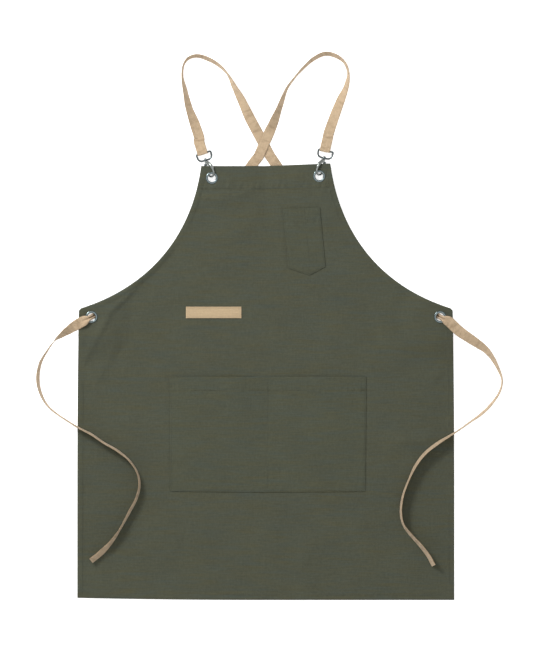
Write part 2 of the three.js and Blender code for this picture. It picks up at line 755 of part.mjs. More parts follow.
function strapGeometry({ loop, clasp, aside, eyelet, tie, isOnTop }) {
  const { along, swivel } = clasp;
  const barMiddle = swivel.clone().addScaledVector(along, loopDepth);
  const barAt = barMiddle.clone().addScaledVector(clasp.aside, aside);
  const wrap = wireRadius + clearance + strapThickness / 2;
  const lying = strapThickness / 2;
  const layer = strapThickness + clearance;
  const across = new Point(-along.y, along.x, 0);
  const stations = [];

  // The end that is folded back under the strap, and the turn round the wire
  const underPoint = (distance, z) =>
    new Point(barAt.x + along.x * distance, barAt.y + along.y * distance, z);
  const backRows = [
    [foldBack, lying],
    [foldBack / 2, lerp(Math.max(claspHeight - wrap, lying), lying, backDrop)],
    [wrap, Math.max(claspHeight - wrap, lying)],
  ];
  for (const [distance, z] of backRows) {
    stations.push({ centre: underPoint(distance, z), lateral: across, normal: up.clone().negate() });
  }
  const turnSteps = 6;
  for (let i = 0; i <= turnSteps; i++) {
    const angle = -Math.PI / 2 - (i / turnSteps) * Math.PI;
    const centre = underPoint(wrap * Math.cos(angle), claspHeight + wrap * Math.sin(angle));
    const normal = new Point(along.x * Math.cos(angle), along.y * Math.cos(angle), Math.sin(angle));
    stations.push({ centre, lateral: across, normal });
  }

  // Shoulder loop
  const overWire = claspHeight + wrap - lying;
  const loopRows = [
    { ...underRow(barAt, along, wrap), z: overWire, flat: 1 },
    { ...underRow(barAt, along, foldBack / 2), z: lerp(overWire, layer, frontDrop), flat: 1 },
    { ...underRow(barAt, along, foldBack + clearance), z: layer + clearance, flat: 1 },
  ];
  for (const row of loop) {
    loopRows.push({
      x: barMiddle.x + row.across * (crossing.x - barMiddle.x),
      y: barMiddle.y + row.rise * loopRise,
      z: 0,
      flat: row.flat,
    });
  }
  const last = loopRows[loopRows.length - 1];
  const start = new THREE.Vector2(crossing.x - last.x, crossing.y - last.y).normalize();
  for (const distance of [-crossingReach, 0, crossingReach]) {
    loopRows.push({
      x: crossing.x + start.x * distance,
      y: crossing.y + start.y * distance,
      z: isOnTop ? layer : 0,
      flat: 1,
      fixed: true,
    });
  }
  letFall(loopRows);

  // Hidden stretch and the way through the eyelet
  const outward = Math.sign(eyelet.x);
  const climb = waistEyeletHeight - gatheredHalf;
  const hiddenRows = hiddenPoints(eyelet).map((at) => ({ x: at.x, y: at.y, z: 0, flat: 1 }));
  const passageRows = passage.map((row) => ({
    x: eyelet.x + outward * Math.cos(passageHeading) * row.along * eyeletRadius,
    y: eyelet.y - Math.sin(passageHeading) * row.along * eyeletRadius,
    z: row.climb === undefined ? 0 : waistEyeletHeight + row.climb * climb - sectionHalf(1, row.gather),
    flat: 1,
    gather: row.gather,
    fixed: true,
  }));

  // Waist tie
  const tieRows = tie.rows.map((row) => {
    const x = eyelet.x + outward * row.out * tie.reach;
    const y = eyelet.y - row.down * tie.drop;
    return { x, y, z: supportAt(x, y), flat: row.flat };
  });
  const exit = passageRows[passageRows.length - 1];
  letFall([exit, ...tieRows]);

  stations.push(...tapeStations(loopRows, 2, outward));
  const backPart = [loopRows[loopRows.length - 1], ...hiddenRows, ...passageRows];
  stations.push(...tapeStations(backPart, 2, outward).slice(1));
  stations.push(...tapeStations([exit, ...tieRows], 1, outward).slice(1));
  return loft(stations.map(tapeRing));
}

function underRow(barAt, along, distance) {
  return { x: barAt.x + along.x * distance, y: barAt.y + along.y * distance };
}

// Wire loop with the boss that the hook's post turns in
function strapLoopGeometry() {
  const half = loopHalfWidth;
  const path = new THREE.Path();
  path.moveTo(0, loopDepth);
  path.lineTo(half - loopCorner, loopDepth);
  path.quadraticCurveTo(half, loopDepth, half, loopDepth - loopCorner);
  path.lineTo(half - loopTaper / 2, loopRounding);
  path.quadraticCurveTo(half - loopTaper, 0, half - loopRounding - loopTaper, 0);
  path.lineTo(-half + loopRounding + loopTaper, 0);
  path.quadraticCurveTo(-half + loopTaper, 0, -half + loopTaper / 2, loopRounding);
  path.lineTo(-half, loopDepth - loopCorner);
  path.quadraticCurveTo(-half, loopDepth, -half + loopCorner, loopDepth);
  const points = path.getPoints(4).map((at) => new Point(at.x, at.y, 0));
  const ring = toSolid(wire(points, wireRadius, up, true));
  const boss = toSolid(rod(bossRadius, bossLength, turnedSides));
  const bore = toSolid(rod(postRadius + clearance, 2 * bossLength, turnedSides));
  return toGeometry(ring.add(boss).subtract(bore));
}

// Neck of the hook: aside in bow radii from the bow's centre, along as a share of the hook's length
const hookNeck = [
  { aside: 0.55, along: 0.33 },
  { aside: 0.92, along: 0.52 },
];

// Hook in its own plane: x across towards the bow, -y along to its tip, turned by its tilt when placed
function hookGeometry(side) {
  const across = -side;
  const centre = new THREE.Vector2(hookOffset, hookLength - hookBow);
  const shoulder = bossLength / 2 + clearance + collarHeight;
  const spine = new THREE.CatmullRomCurve3(
    [
      [0, shoulder - collarOverlap],
      [neckTurn.aside * hookBow, shoulder + neckTurn.rise * wireRadius],
      ...hookNeck.map((row) => [centre.x + row.aside * hookBow, row.along * hookLength]),
      [centre.x + hookBow, centre.y],
    ].map(([x, y]) => new Point(across * x, -y, 0)),
  );
  const points = spine.getPoints(8);
  const bowSteps = 10;
  for (let i = 1; i <= bowSteps; i++) {
    const angle = (i / bowSteps) * Math.PI;
    const aside = centre.x + hookBow * Math.cos(angle);
    points.push(new Point(across * aside, -(centre.y + hookBow * Math.sin(angle)), 0));
  }
  points.push(new Point(across * (centre.x - hookBow), -(centre.y - noseReach), 0));
  const radii = points.map((at) => lerp(wireRadius, neckRadius, neckShare(-at.y, shoulder)));
  let solid = toSolid(wire(points, radii, up));
  const postLength = bossLength + 2 * clearance + collarHeight + rivetHeight;
  const headAt = bossLength / 2 + clearance + rivetHeight / 2;
  const post = rod(postRadius, postLength, turnedSides).translate(0, (rivetHeight - collarHeight) / 2, 0);
  const head = rod(rivetRadius, rivetHeight, turnedSides).translate(0, headAt, 0);
  const collar = rod(bossRadius, collarHeight, turnedSides).translate(0, -shoulder + collarHeight / 2, 0);
  solid = solid.add(toSolid(post)).add(toSolid(head)).add(toSolid(collar));
  const ear = earGeometry(across, shoulder);
  const pinHole = rod(gatePinRadius + gatePinPlay, 2 * gateThickness, turnedSides)
    .rotateX(Math.PI / 2)
    .translate(across * gatePivot.aside, -gatePivot.along, 0);
  return toGeometry(solid.add(toSolid(ear)).subtract(toSolid(pinHole)));
}

// The hook is thickest between its collar and the first bend of its neck
function neckShare(along, shoulder) {
  const end = hookNeck[0].along * hookLength;
  return smoothstep(along, shoulder - collarOverlap, end / 2) * (1 - smoothstep(along, end / 2, end));
}

// Ear that the gate's pin passes through
function earGeometry(across, shoulder) {
  const root = new Point(0, -(shoulder - collarOverlap), 0);
  const tip = new Point(across * gatePivot.aside, -gatePivot.along, 0);
  const shape = new THREE.Shape();
  const heading = Math.atan2(tip.y - root.y, tip.x - root.x);
  shape.absarc(tip.x, tip.y, earRadius, heading - Math.PI / 2, heading + Math.PI / 2, false);
  shape.absarc(root.x, root.y, earRadius, heading + Math.PI / 2, heading + 1.5 * Math.PI, false);
  const geometry = new THREE.ExtrudeGeometry(shape, {
    depth: earThickness,
    bevelEnabled: false,
    curveSegments: 6,
  });
  return closedLathe(geometry.translate(0, 0, -earThickness / 2));
}

// Gate: a lever on a pin, with teeth for the thumb, whose tip meets the hook's nose
function gateGeometry(side) {
  const across = -side;
  const tipAlong = hookLength - hookBow - noseReach - clearance;
  const tipAside = hookOffset - hookBow;
  const half = gateWidth / 2;
  const teethFrom = (gatePivot.along + tipAlong) / 2;
  const outline = [
    [gatePivot.aside + half + gateHeel.inner, gatePivot.along - gateHeel.upper],
    [gatePivot.aside + half + gateHeel.inner, gatePivot.along + gateHeel.lower],
    [tipAside + half, tipAlong],
    [tipAside - half, tipAlong],
    [tipAside - half, teethFrom + thumbReach],
  ];
  const teethTo = gatePivot.along - gateHeel.lower;
  for (let i = 0; i < thumbTeeth; i++) {
    const from = lerp(teethFrom, teethTo, i / thumbTeeth);
    const to = lerp(teethFrom, teethTo, (i + toothShare) / thumbTeeth);
    outline.push([tipAside - half - thumbReach * toothRoot, from - toothSlope]);
    outline.push([tipAside - half - thumbReach, to]);
  }
  outline.push([gatePivot.aside - half - gateHeel.outer, gatePivot.along - gateHeel.top]);
  const shape = new THREE.Shape(outline.map(([x, y]) => new THREE.Vector2(across * x, -y)));
  const blade = new THREE.ExtrudeGeometry(shape, { depth: gateThickness, bevelEnabled: false });
  let solid = toSolid(closedLathe(blade.translate(0, 0, -gateThickness / 2)));
  const slot = rod(earRadius + gateSlotPlay, earThickness + 2 * clearance, turnedSides)
    .rotateX(Math.PI / 2)
    .translate(across * gatePivot.aside, -gatePivot.along, 0);
  const pin = rod(gatePinRadius, gateThickness, turnedSides)
    .rotateX(Math.PI / 2)
    .translate(across * gatePivot.aside, -gatePivot.along, 0);
  solid = solid.subtract(toSolid(slot)).add(toSolid(pin));
  return toGeometry(solid);
}

// Build
addPiece("apron_panel", panelGeometry(), cloth);
addPiece("waist_pocket", pocketGeometry(waistPocket, [0, 0.5], waistPocketAt, waistPocketGrid), cloth);
const chestSeams = [0, chestSeamShare];
addPiece("chest_pocket", pocketGeometry(chestPocket, chestSeams, chestPocketAt, chestPocketGrid), cloth);

addPiece("tape_patch", patchGeometry(), tape);

["left", "right"].forEach((name, i) => {
  const side = i ? 1 : -1;
  const bibEyelet = addPiece("bib_eyelet_" + name, closedLathe(eyeletGeometry()), steel);
  bibEyelet.position.set(bibEyeletAt[i].x, bibEyeletAt[i].y, bibEyeletHeight);
  const waistEyelet = addPiece("waist_eyelet_" + name, closedLathe(eyeletGeometry()), steel);
  waistEyelet.position.set(waistEyeletAt[i].x, waistEyeletAt[i].y, waistEyeletHeight);

  const clasp = clasps[i];
  const claspGroup = new THREE.Group();
  claspGroup.position.set(clasp.swivel.x, clasp.swivel.y, claspHeight);
  claspGroup.rotation.z = -side * clasp.lean;
  apron.add(claspGroup);
  addPiece("strap_loop_" + name, strapLoopGeometry(), steel, claspGroup);
  const hookGroup = new THREE.Group();
  hookGroup.rotation.y = side * hookTilt;
  claspGroup.add(hookGroup);
  addPiece("hook_" + name, hookGeometry(side), steel, hookGroup);
  addPiece("gate_" + name, gateGeometry(side), steel, hookGroup);
});

addPiece("strap_left", strapGeometry(straps.left), tape);
addPiece("strap_right", strapGeometry(straps.right), tape);

// The origin is the middle of the footprint, on the surface
const box = new THREE.Box3().setFromObject(apron, true);
apron.position.set(-(box.min.x + box.max.x) / 2, -(box.min.y + box.max.y) / 2, -box.min.z);

const object = new THREE.Group();
object.add(apron);
export default object;
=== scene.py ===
import bpy
import bmesh
import math
import numpy as np
from mathutils import Matrix, Vector


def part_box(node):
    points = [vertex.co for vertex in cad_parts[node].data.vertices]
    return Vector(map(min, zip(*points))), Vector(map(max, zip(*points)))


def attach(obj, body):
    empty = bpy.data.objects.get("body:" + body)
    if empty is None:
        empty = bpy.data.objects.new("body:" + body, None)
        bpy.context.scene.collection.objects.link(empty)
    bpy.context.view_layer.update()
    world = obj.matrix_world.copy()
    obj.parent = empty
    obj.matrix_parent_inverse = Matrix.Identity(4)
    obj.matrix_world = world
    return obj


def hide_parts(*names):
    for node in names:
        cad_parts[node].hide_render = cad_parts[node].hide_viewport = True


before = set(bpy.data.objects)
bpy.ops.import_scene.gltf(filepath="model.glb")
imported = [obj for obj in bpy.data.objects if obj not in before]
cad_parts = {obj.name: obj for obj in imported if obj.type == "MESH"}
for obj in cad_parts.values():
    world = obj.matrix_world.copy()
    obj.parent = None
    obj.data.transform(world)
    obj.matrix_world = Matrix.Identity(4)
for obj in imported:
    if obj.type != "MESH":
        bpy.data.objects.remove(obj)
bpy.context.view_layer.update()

mm = 0.001
tau = 2 * math.pi

# Everything below is worked out in millimetres from the panel's bottom middle, then moved to the frame
panelLow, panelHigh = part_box("apron_panel")
shift = np.array([panelLow[0] / mm + 360, panelLow[1] / mm, 0.0])


# Small maths


def lerp(a, b, t):
    return a + (b - a) * t


def smoothstep(x, low, high):
    t = np.clip((x - low) / (high - low), 0, 1)
    return t * t * (3 - 2 * t)


def fade(distance, flat, length):
    return 1 - smoothstep(distance, flat, flat + length)


def bump(x, spread):
    return np.exp(-((x / spread) ** 2))


def softNoise(x, y, size, seed):
    table = np.random.default_rng(seed).uniform(-1, 1, (64, 64))
    u, v = x / size, y / size
    i, j = np.floor(u).astype(int), np.floor(v).astype(int)
    fu, fv = smoothstep(u - i, 0, 1), smoothstep(v - j, 0, 1)
    low = lerp(table[i % 64, j % 64], table[(i + 1) % 64, j % 64], fu)
    high = lerp(table[i % 64, (j + 1) % 64], table[(i + 1) % 64, (j + 1) % 64], fu)
    return lerp(low, high, fv)


# Mesh making


def makePiece(name, points, faces, material, body="apron", sharp=55, flow=None):
    mesh = bpy.data.meshes.new(name)
    moved = (np.asarray(points, dtype=float) + shift) * mm
    mesh.from_pydata(moved.tolist(), [], [list(map(int, f)) for f in faces])
    mesh.validate()
    mesh.shade_smooth()
    mesh.set_sharp_from_angle(angle=math.radians(sharp))
    if flow is not None:
        layer = mesh.attributes.new("flow", "FLOAT_VECTOR", "POINT")
        layer.data.foreach_set("vector", np.asarray(flow, dtype=np.float32).ravel())
    piece = bpy.data.objects.new(name, mesh)
    bpy.context.scene.collection.objects.link(piece)
    piece.data.materials.append(material)
    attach(piece, body)
    return piece


def gridFaces(rows, columns):
    index = np.arange(rows * columns).reshape(rows, columns)
    quads = [index[:-1, :-1], index[:-1, 1:], index[1:, 1:], index[1:, :-1]]
    return np.stack(quads, -1).reshape(-1, 4)


def closedSheet(top, bottom):
    rows, columns = top.shape[:2]
    count = rows * columns
    index = np.arange(count).reshape(rows, columns)
    upper = gridFaces(rows, columns)
    ring = np.concatenate([index[0, :-1], index[:-1, -1], index[-1, :0:-1], index[:0:-1, 0]])
    after = np.roll(ring, -1)
    walls = np.stack([ring + count, after + count, after, ring], -1)
    points = np.concatenate([top.reshape(-1, 3), bottom.reshape(-1, 3)])
    return points, np.concatenate([upper, upper[:, ::-1] + count, walls])


def loft(rings, closed=False):
    count, sides = len(rings), len(rings[0])
    points = np.concatenate(rings)
    faces = []
    for r in range(count if closed else count - 1):
        a, b = r * sides, ((r + 1) % count) * sides
        for i in range(sides):
            j = (i + 1) % sides
            faces.append((a + i, a + j, b + j, b + i))
    if not closed:
        faces.append(tuple(range(sides))[::-1])
        faces.append(tuple(range((count - 1) * sides, count * sides)))
    return points, faces


def joinParts(parts):
    points, faces, offset = [], [], 0
    for partPoints, partFaces in parts:
        points.append(np.asarray(partPoints, dtype=float))
        faces += [tuple(int(i) + offset for i in face) for face in partFaces]
        offset += len(partPoints)
    return np.concatenate(points), faces


# Sizes, panel outline and heights, as in the solids; -1 is the left side and 1 the right

apron = {
    "length": 829, "bottomWidth": 720, "waistWidth": 714, "waistHeight": 556, "bibWidth": 247,
    "bibSlant": 5, "bottomSlant": 4, "armholeLean": 7.5, "armholeFlare": 17, "topPull": 0.45,
    "sidePull": 0.65, "cloth": 1.2, "folded": 2.0, "hem": 12, "bibHem": 44, "clearance": 0.3,
}
eyelet = {
    "hole": 14.6, "width": 23.4, "wall": 0.7, "crown": 0.8, "bibInset": {-1: 20.4, 1: 21.6}, "bibDrop": 23,
    "waistInset": 24, "waistDrop": 15.5, "climb": 10, "heading": 27, "sides": 64,
}
waistPocket = {
    "x": 4, "bottom": 207.5, "width": 376, "height": 219, "hem": 26, "softEase": 3.6, "groove": 0.25, "sag": 1.5,
    "taper": 0.99, "stitchInset": 2.6, "barWidth": 9, "barHeight": 25,
}
chestPocket = {
    "x": 67.8, "drop": 80.5, "width": 71, "side": 114, "point": 15, "hem": 25, "softEase": 1.8, "groove": 0.05,
    "lean": math.radians(5.4), "tilt": math.radians(2.3), "seam": 0.58, "pointShare": 0.55, "stitchInset": 2.4,
}
patch = {"x": -99.6, "y": 549.2, "width": 106, "height": 22, "thickness": 1.3}
strap = {
    "width": 20, "thickness": 1.2, "loopRise": 185.5, "foldBack": 24, "crossingReach": 25, "fall": 0.22,
    "gatherFold": math.radians(60), "crossing": (-3.6, 870),
}
clasp = {
    "wire": 1.6, "loopWire": 1.85, "hookWire": 2.0, "neckWire": 3.4, "halfWidth": 14.1, "depth": 14.5,
    "corner": 2.0, "rounding": 9, "taper": 0.4, "post": 1.5, "boss": 3.2, "bossLength": 4, "rivet": 2.8,
    "rivetHeight": 1.6, "collar": 1.5, "hookLength": 33, "bow": 8, "offset": 4, "tilt": math.radians(42),
    "nose": 1.2, "seatAlong": 2.8, "seatAside": {-1: 0.8, 1: 1.3}, "lean": {-1: math.radians(16), 1: math.radians(13)},
    "gateThickness": 3.2, "gateWidth": 2.2, "pivotAside": -2.2, "pivotAlong": 9, "ear": 1.2, "earRadius": 2.2,
    "earHalf": 2.0, "thumb": 1.1, "teeth": 3, "strapAside": {-1: -2.1, 1: 2.1}, "bevel": 0.3, "earBevel": 0.15,
    "rivetBevel": 0.5, "overlap": 0.4, "postReach": 0.2, "neckFade": 2.1,
    "neckTurn": (0.3, 0.8), "neck": [(0.55, 0.33), (0.92, 0.52)],
}


def armholeCurve(count):
    half, drop = apron["bibWidth"] / 2, apron["length"] - apron["waistHeight"]
    reach = apron["waistWidth"] / 2 - half
    lean, flare = math.radians(apron["armholeLean"]), math.radians(apron["armholeFlare"])
    topPull, sidePull = apron["topPull"] * drop, apron["sidePull"] * reach
    ends = np.array([
        [half, apron["length"]],
        [half + topPull * math.sin(lean), apron["length"] - topPull * math.cos(lean)],
        [half + reach - sidePull * math.cos(flare), apron["waistHeight"] + sidePull * math.sin(flare)],
        [half + reach, apron["waistHeight"]],
    ])
    t = np.linspace(0, 1, count)[:, None]
    return (1 - t) ** 3 * ends[0] + 3 * t * (1 - t) ** 2 * ends[1] + 3 * t * t * (1 - t) * ends[2] + t ** 3 * ends[3]


armhole = armholeCurve(400)


def halfWidthAt(y, inset=0.0):
    y = np.asarray(y, dtype=float)
    upSide = np.clip(y / apron["waistHeight"], 0, 1) ** 4
    side = lerp(apron["bottomWidth"], apron["waistWidth"], upSide) / 2 - inset
    way = np.gradient(armhole, axis=0)
    way /= np.linalg.norm(way, axis=1)[:, None]
    inner = armhole + inset * np.stack([way[:, 1], -way[:, 0]], -1)
    curve = np.interp(y, inner[::-1, 1], inner[::-1, 0], left=1e9)
    return np.minimum(side, curve)


def skew(x, y):
    toRight = np.clip(x / (apron["bibWidth"] / 2), 0, 1)
    toTop = np.clip((y - apron["waistHeight"]) / (apron["length"] - apron["waistHeight"]), 0, 1)
    toLeft = np.clip(-x / (apron["bottomWidth"] / 2), 0, 1)
    toBottom = np.clip(1 - y / apron["waistHeight"], 0, 1)
    return apron["bibSlant"] * toRight * toTop ** 2 + apron["bottomSlant"] * toLeft ** 2 * toBottom


def onPanel(x, y):
    return np.array([x, y + float(skew(x, y))])


eyeletRadius = eyelet["width"] / 2
bibEyelets = {
    s: onPanel(s * (apron["bibWidth"] / 2 - eyelet["bibInset"][s]), apron["length"] - eyelet["bibDrop"])
    for s in (-1, 1)
}
waistEyelets = {
    s: onPanel(s * (apron["waistWidth"] / 2 - eyelet["waistInset"]), apron["waistHeight"] - eyelet["waistDrop"])
    for s in (-1, 1)
}
crossing = np.array(strap["crossing"], dtype=float)


def sectionHalf(flat, gather):
    fold = gather * strap["gatherFold"]
    flatHalf = strap["width"] / 4 * np.sin(fold) / 2 + strap["thickness"] / 2 / np.cos(fold)
    return flat * flatHalf + np.sqrt(1 - flat * flat) * strap["width"] / 2


gateDepth = clasp["bow"] - clasp["offset"] + clasp["gateWidth"] / 2 + clasp["thumb"]
claspHeight = math.hypot(gateDepth, clasp["gateThickness"] / 2) + apron["clearance"]
bibEyeletHeight = claspHeight + clasp["offset"] * math.sin(clasp["tilt"])
gatheredHalf = float(sectionHalf(1.0, 1.0))
waistEyeletHeight = gatheredHalf + eyelet["climb"] * math.sin(strap["gatherFold"])
tapeSwell = strap["thickness"] + 3 * apron["clearance"]

# The hidden way of the tapes, along and aside, as shares of the way to the waist eyelet
hidden = [(0.1, 0.026), (0.375, 0.093), (0.651, 0.107), (0.87, 0.044)]


def hiddenPoints(at):
    way = at - crossing
    inside = np.array([-way[1], way[0]]) * -np.sign(at[0])
    return [crossing + way * along + inside * aside for along, aside in hidden]


hiddenLines = []
for side in (-1, 1):
    route = [crossing, *hiddenPoints(waistEyelets[side]), waistEyelets[side]]
    hiddenLines += list(zip(route[:-1], route[1:]))


def lineDistance(x, y, start, end):
    way = end - start
    share = np.clip(((x - start[0]) * way[0] + (y - start[1]) * way[1]) / way.dot(way), 0, 1)
    return np.hypot(x - start[0] - share * way[0], y - start[1] - share * way[1])


def boxDistance(x, y, middle, halfX, halfY):
    return np.hypot(np.maximum(abs(x - middle[0]) - halfX, 0), np.maximum(abs(y - middle[1]) - halfY, 0))


def waistPocketAt(across, rise):
    x = waistPocket["x"] + (across - 0.5) * waistPocket["width"] * lerp(waistPocket["taper"], 1, rise)
    sag = waistPocket["sag"] * (1 - (2 * across - 1) ** 2) * (1 - rise)
    return x, waistPocket["bottom"] + rise * waistPocket["height"] - sag


def chestPocketAt(across, rise):
    share = chestPocket["pointShare"]
    toPoint = np.where(across < share, across / share, (1 - across) / (1 - share))
    down = (1 - rise) * (chestPocket["side"] + chestPocket["point"] * toPoint)
    aside = (across - 0.5) * chestPocket["width"]
    lean, tilt = chestPocket["lean"], chestPocket["tilt"]
    x = chestPocket["x"] + aside * math.cos(tilt) + down * math.sin(lean)
    return x, apron["length"] - chestPocket["drop"] + aside * math.sin(tilt) - down * math.cos(lean)


chestHalf = (
    (chestPocket["width"] + chestPocket["side"] * math.sin(chestPocket["lean"])) / 2,
    (chestPocket["side"] + chestPocket["point"]) / 2,
)
sewnOn = [
    (waistPocketAt(0.5, 0.5), waistPocket["width"] / 2, waistPocket["height"] / 2),
    (chestPocketAt(0.5, 0.5), *chestHalf),
    ((patch["x"], patch["y"]), patch["width"] / 2, patch["height"] / 2),
]
calm = {"margin": 14, "fade": 40, "tape": 30, "bib": 21, "waist": 37, "waistFade": 56}

# Folds of the cloth: middle x and y, turn, length and width as shares of the panel, height in millimetres
folds = [
    (-0.41, 0.645, 62, 0.19, 0.048, 1.2), (-0.35, 0.6, 58, 0.15, 0.045, 1.0),
    (-0.135, 0.925, 8, 0.11, 0.03, 1.6), (-0.07, 0.865, 28, 0.14, 0.04, 1.8),
    (-0.255, 0.13, 91, 0.24, 0.04, 1.8), (0.41, 0.36, 4, 0.14, 0.035, 1.8),
    (0.36, 0.56, 118, 0.16, 0.045, 2.0), (0.1, 0.07, 80, 0.13, 0.045, 1.6),
]


def foldRise(x, y):
    rise = 0
    for foldX, foldY, turn, length, width, height in folds:
        turn = math.radians(turn)
        dx, dy = x - foldX * apron["bottomWidth"], y - foldY * apron["length"]
        along = abs(dx * math.cos(turn) + dy * math.sin(turn)) / (length * apron["length"])
        across = abs(dy * math.cos(turn) - dx * math.sin(turn)) / (width * apron["length"])
        rise = rise + height * fade(along, 0.2, 0.8) * fade(across, 0, 1)
    return rise


def nearest(x, y, places):
    return np.minimum.reduce([np.hypot(x - at[0], y - at[1]) for at in places])


def freeness(x, y):
    toSewn = [smoothstep(boxDistance(x, y, *box), calm["margin"], calm["margin"] + calm["fade"]) for box in sewnOn]
    atBib = smoothstep(nearest(x, y, bibEyelets.values()), calm["bib"], 2 * calm["bib"])
    atWaist = smoothstep(nearest(x, y, waistEyelets.values()), calm["waist"], 2 * calm["waist"])
    return np.minimum.reduce([*toSewn, atBib, atWaist])


def clothRise(x, y):
    overTape = np.minimum.reduce([lineDistance(x, y, *line) for line in hiddenLines])
    swell = tapeSwell * fade(overTape - strap["width"] / 2, calm["tape"], calm["fade"])
    bibLift = bibEyeletHeight - apron["folded"] / 2
    waistLift = waistEyeletHeight - apron["folded"] / 2
    onBib = bibLift * fade(nearest(x, y, bibEyelets.values()), calm["bib"], apron["bibWidth"] / 2)
    onWaist = waistLift * fade(nearest(x, y, waistEyelets.values()), calm["waist"], calm["waistFade"])
    return np.maximum.reduce([swell, onBib, onWaist]) + freeness(x, y) * foldRise(x, y)


def hemShare(x, y):
    flatY = y - skew(x, y)
    edge = halfWidthAt(flatY) - abs(x)
    fromBibHem = apron["length"] - apron["bibHem"] - flatY
    step = np.minimum(edge - apron["hem"], np.minimum(flatY - apron["hem"], fromBibHem))
    return 1 - smoothstep(step, -1, 1)


def clothTop(x, y):
    return clothRise(x, y) + lerp(apron["cloth"], apron["folded"], hemShare(x, y))


# Materials


def newMaterial(name, values):
    material = bpy.data.materials.new(name)
    material.use_nodes = True
    shader = material.node_tree.nodes["Principled BSDF"]
    for socketName, value in values.items():
        shader.inputs[socketName].default_value = value
    return material, material.node_tree, shader


def addNode(tree, kind, **values):
    node = tree.nodes.new(kind)
    for key, value in values.items():
        setattr(node, key, value)
    return node


def math2(tree, operation, a, b=None):
    node = addNode(tree, "ShaderNodeMath", operation=operation)
    for socket, value in zip(node.inputs, (a, b)):
        if value is None:
            continue
        if isinstance(value, (int, float)):
            socket.default_value = value
        else:
            tree.links.new(value, socket)
    return node.outputs[0]


def newGroup(name, inputs, outputs):
    group = bpy.data.node_groups.new(name, "ShaderNodeTree")
    for socketName, kind, value in inputs:
        socket = group.interface.new_socket(socketName, in_out="INPUT", socket_type=kind)
        socket.default_value = value
    for socketName, kind in outputs:
        group.interface.new_socket(socketName, in_out="OUTPUT", socket_type=kind)
    return group, group.nodes.new("NodeGroupInput"), group.nodes.new("NodeGroupOutput")


def addNoise(tree, place, scale, detail=2.0, distortion=0.0):
    node = addNode(tree, "ShaderNodeTexNoise")
    node.inputs["Scale"].default_value = scale
    node.inputs["Detail"].default_value = detail
    node.inputs["Distortion"].default_value = distortion
    if place is not None:
        tree.links.new(place, node.inputs["Vector"])
    return node.outputs["Fac"]


def stretched(tree, vector, amounts):
    node = addNode(tree, "ShaderNodeVectorMath", operation="MULTIPLY")
    node.inputs[1].default_value = amounts
    tree.links.new(vector, node.inputs[0])
    return node.outputs[0]


def tinted(tree, colour, change):
    # The colour made lighter or darker by a share of itself
    node = addNode(tree, "ShaderNodeVectorMath", operation="SCALE")
    tree.links.new(colour, node.inputs[0])
    tree.links.new(math2(tree, "ADD", change, 1), node.inputs["Scale"])
    return node.outputs[0]


def mixed(tree, share, first, second):
    node = addNode(tree, "ShaderNodeMix", data_type="RGBA")
    tree.links.new(share, node.inputs["Factor"])
    for socket, colour in zip((node.inputs[6], node.inputs[7]), (first, second)):
        if isinstance(colour, tuple):
            socket.default_value = colour
        else:
            tree.links.new(colour, socket)
    return node.outputs[2]


# Cloth: scale and detail of its cloudy tone, slubs both ways, flecks, and a cool and a warm tone in streaks
weaveLook = {
    "cloud": (14, 4), "slubWays": ((30, 900, 1), (900, 30, 1)), "slubShares": (1.4, 0.7), "slubHeight": 1.5,
    "fleck": 230, "fleckShare": 0.34, "threadShare": 0.05, "toneWay": (12, 150, 1), "toneDetail": 3,
    "toneDistortion": 0.6, "cool": (0.85, 1.01, 1.31, 1), "warm": (1.15, 0.99, 0.69, 1), "roughness": 0.9,
    "roughnessChange": 0.5,
}


def canvasGroup():
    look = weaveLook
    group, source, result = newGroup(
        "canvasWeave",
        [
            ("Base", "NodeSocketColor", (0.07, 0.075, 0.05, 1)), ("Thread Size", "NodeSocketFloat", 0.0009),
            ("Mottle", "NodeSocketFloat", 0.1), ("Slub", "NodeSocketFloat", 0.1),
        ],
        [("Color", "NodeSocketColor"), ("Roughness", "NodeSocketFloat"), ("Height", "NodeSocketFloat")],
    )
    links = group.links

    def do(operation, a, b=None):
        return math2(group, operation, a, b)

    place = group.nodes.new("ShaderNodeTexCoord").outputs["Object"]
    split = group.nodes.new("ShaderNodeSeparateXYZ")
    links.new(place, split.inputs[0])
    scale = do("DIVIDE", math.pi, source.outputs["Thread Size"])
    warp = do("SINE", do("MULTIPLY", split.outputs["X"], scale))
    weft = do("SINE", do("MULTIPLY", split.outputs["Y"], scale))
    weave = do("MULTIPLY", warp, weft)

    cloud = addNoise(group, place, *look["cloud"])
    slubs = [addNoise(group, stretched(group, place, way), 1) for way in look["slubWays"]]
    weighed = [do("MULTIPLY", slub, share) for slub, share in zip(slubs, look["slubShares"])]
    streaks = do("SUBTRACT", do("ADD", *weighed), sum(look["slubShares"]) / 2)
    mottle = do("MULTIPLY", do("SUBTRACT", cloud, 0.5), source.outputs["Mottle"])
    change = do("ADD", mottle, do("MULTIPLY", streaks, source.outputs["Slub"]))
    flecks = do("SUBTRACT", addNoise(group, place, look["fleck"]), 0.5)
    change = do("ADD", change, do("MULTIPLY", flecks, look["fleckShare"]))
    change = do("ADD", change, do("MULTIPLY", weave, look["threadShare"]))

    toneAt = stretched(group, place, look["toneWay"])
    tone = addNoise(group, toneAt, 1, look["toneDetail"], look["toneDistortion"])
    toned = addNode(group, "ShaderNodeVectorMath", operation="MULTIPLY")
    links.new(tinted(group, source.outputs["Base"], change), toned.inputs[0])
    links.new(mixed(group, tone, look["cool"], look["warm"]), toned.inputs[1])
    links.new(toned.outputs[0], result.inputs["Color"])
    roughness = do("ADD", do("MULTIPLY", mottle, look["roughnessChange"]), look["roughness"])
    links.new(roughness, result.inputs["Roughness"])
    links.new(do("ADD", weave, do("MULTIPLY", streaks, look["slubHeight"])), result.inputs["Height"])
    return group


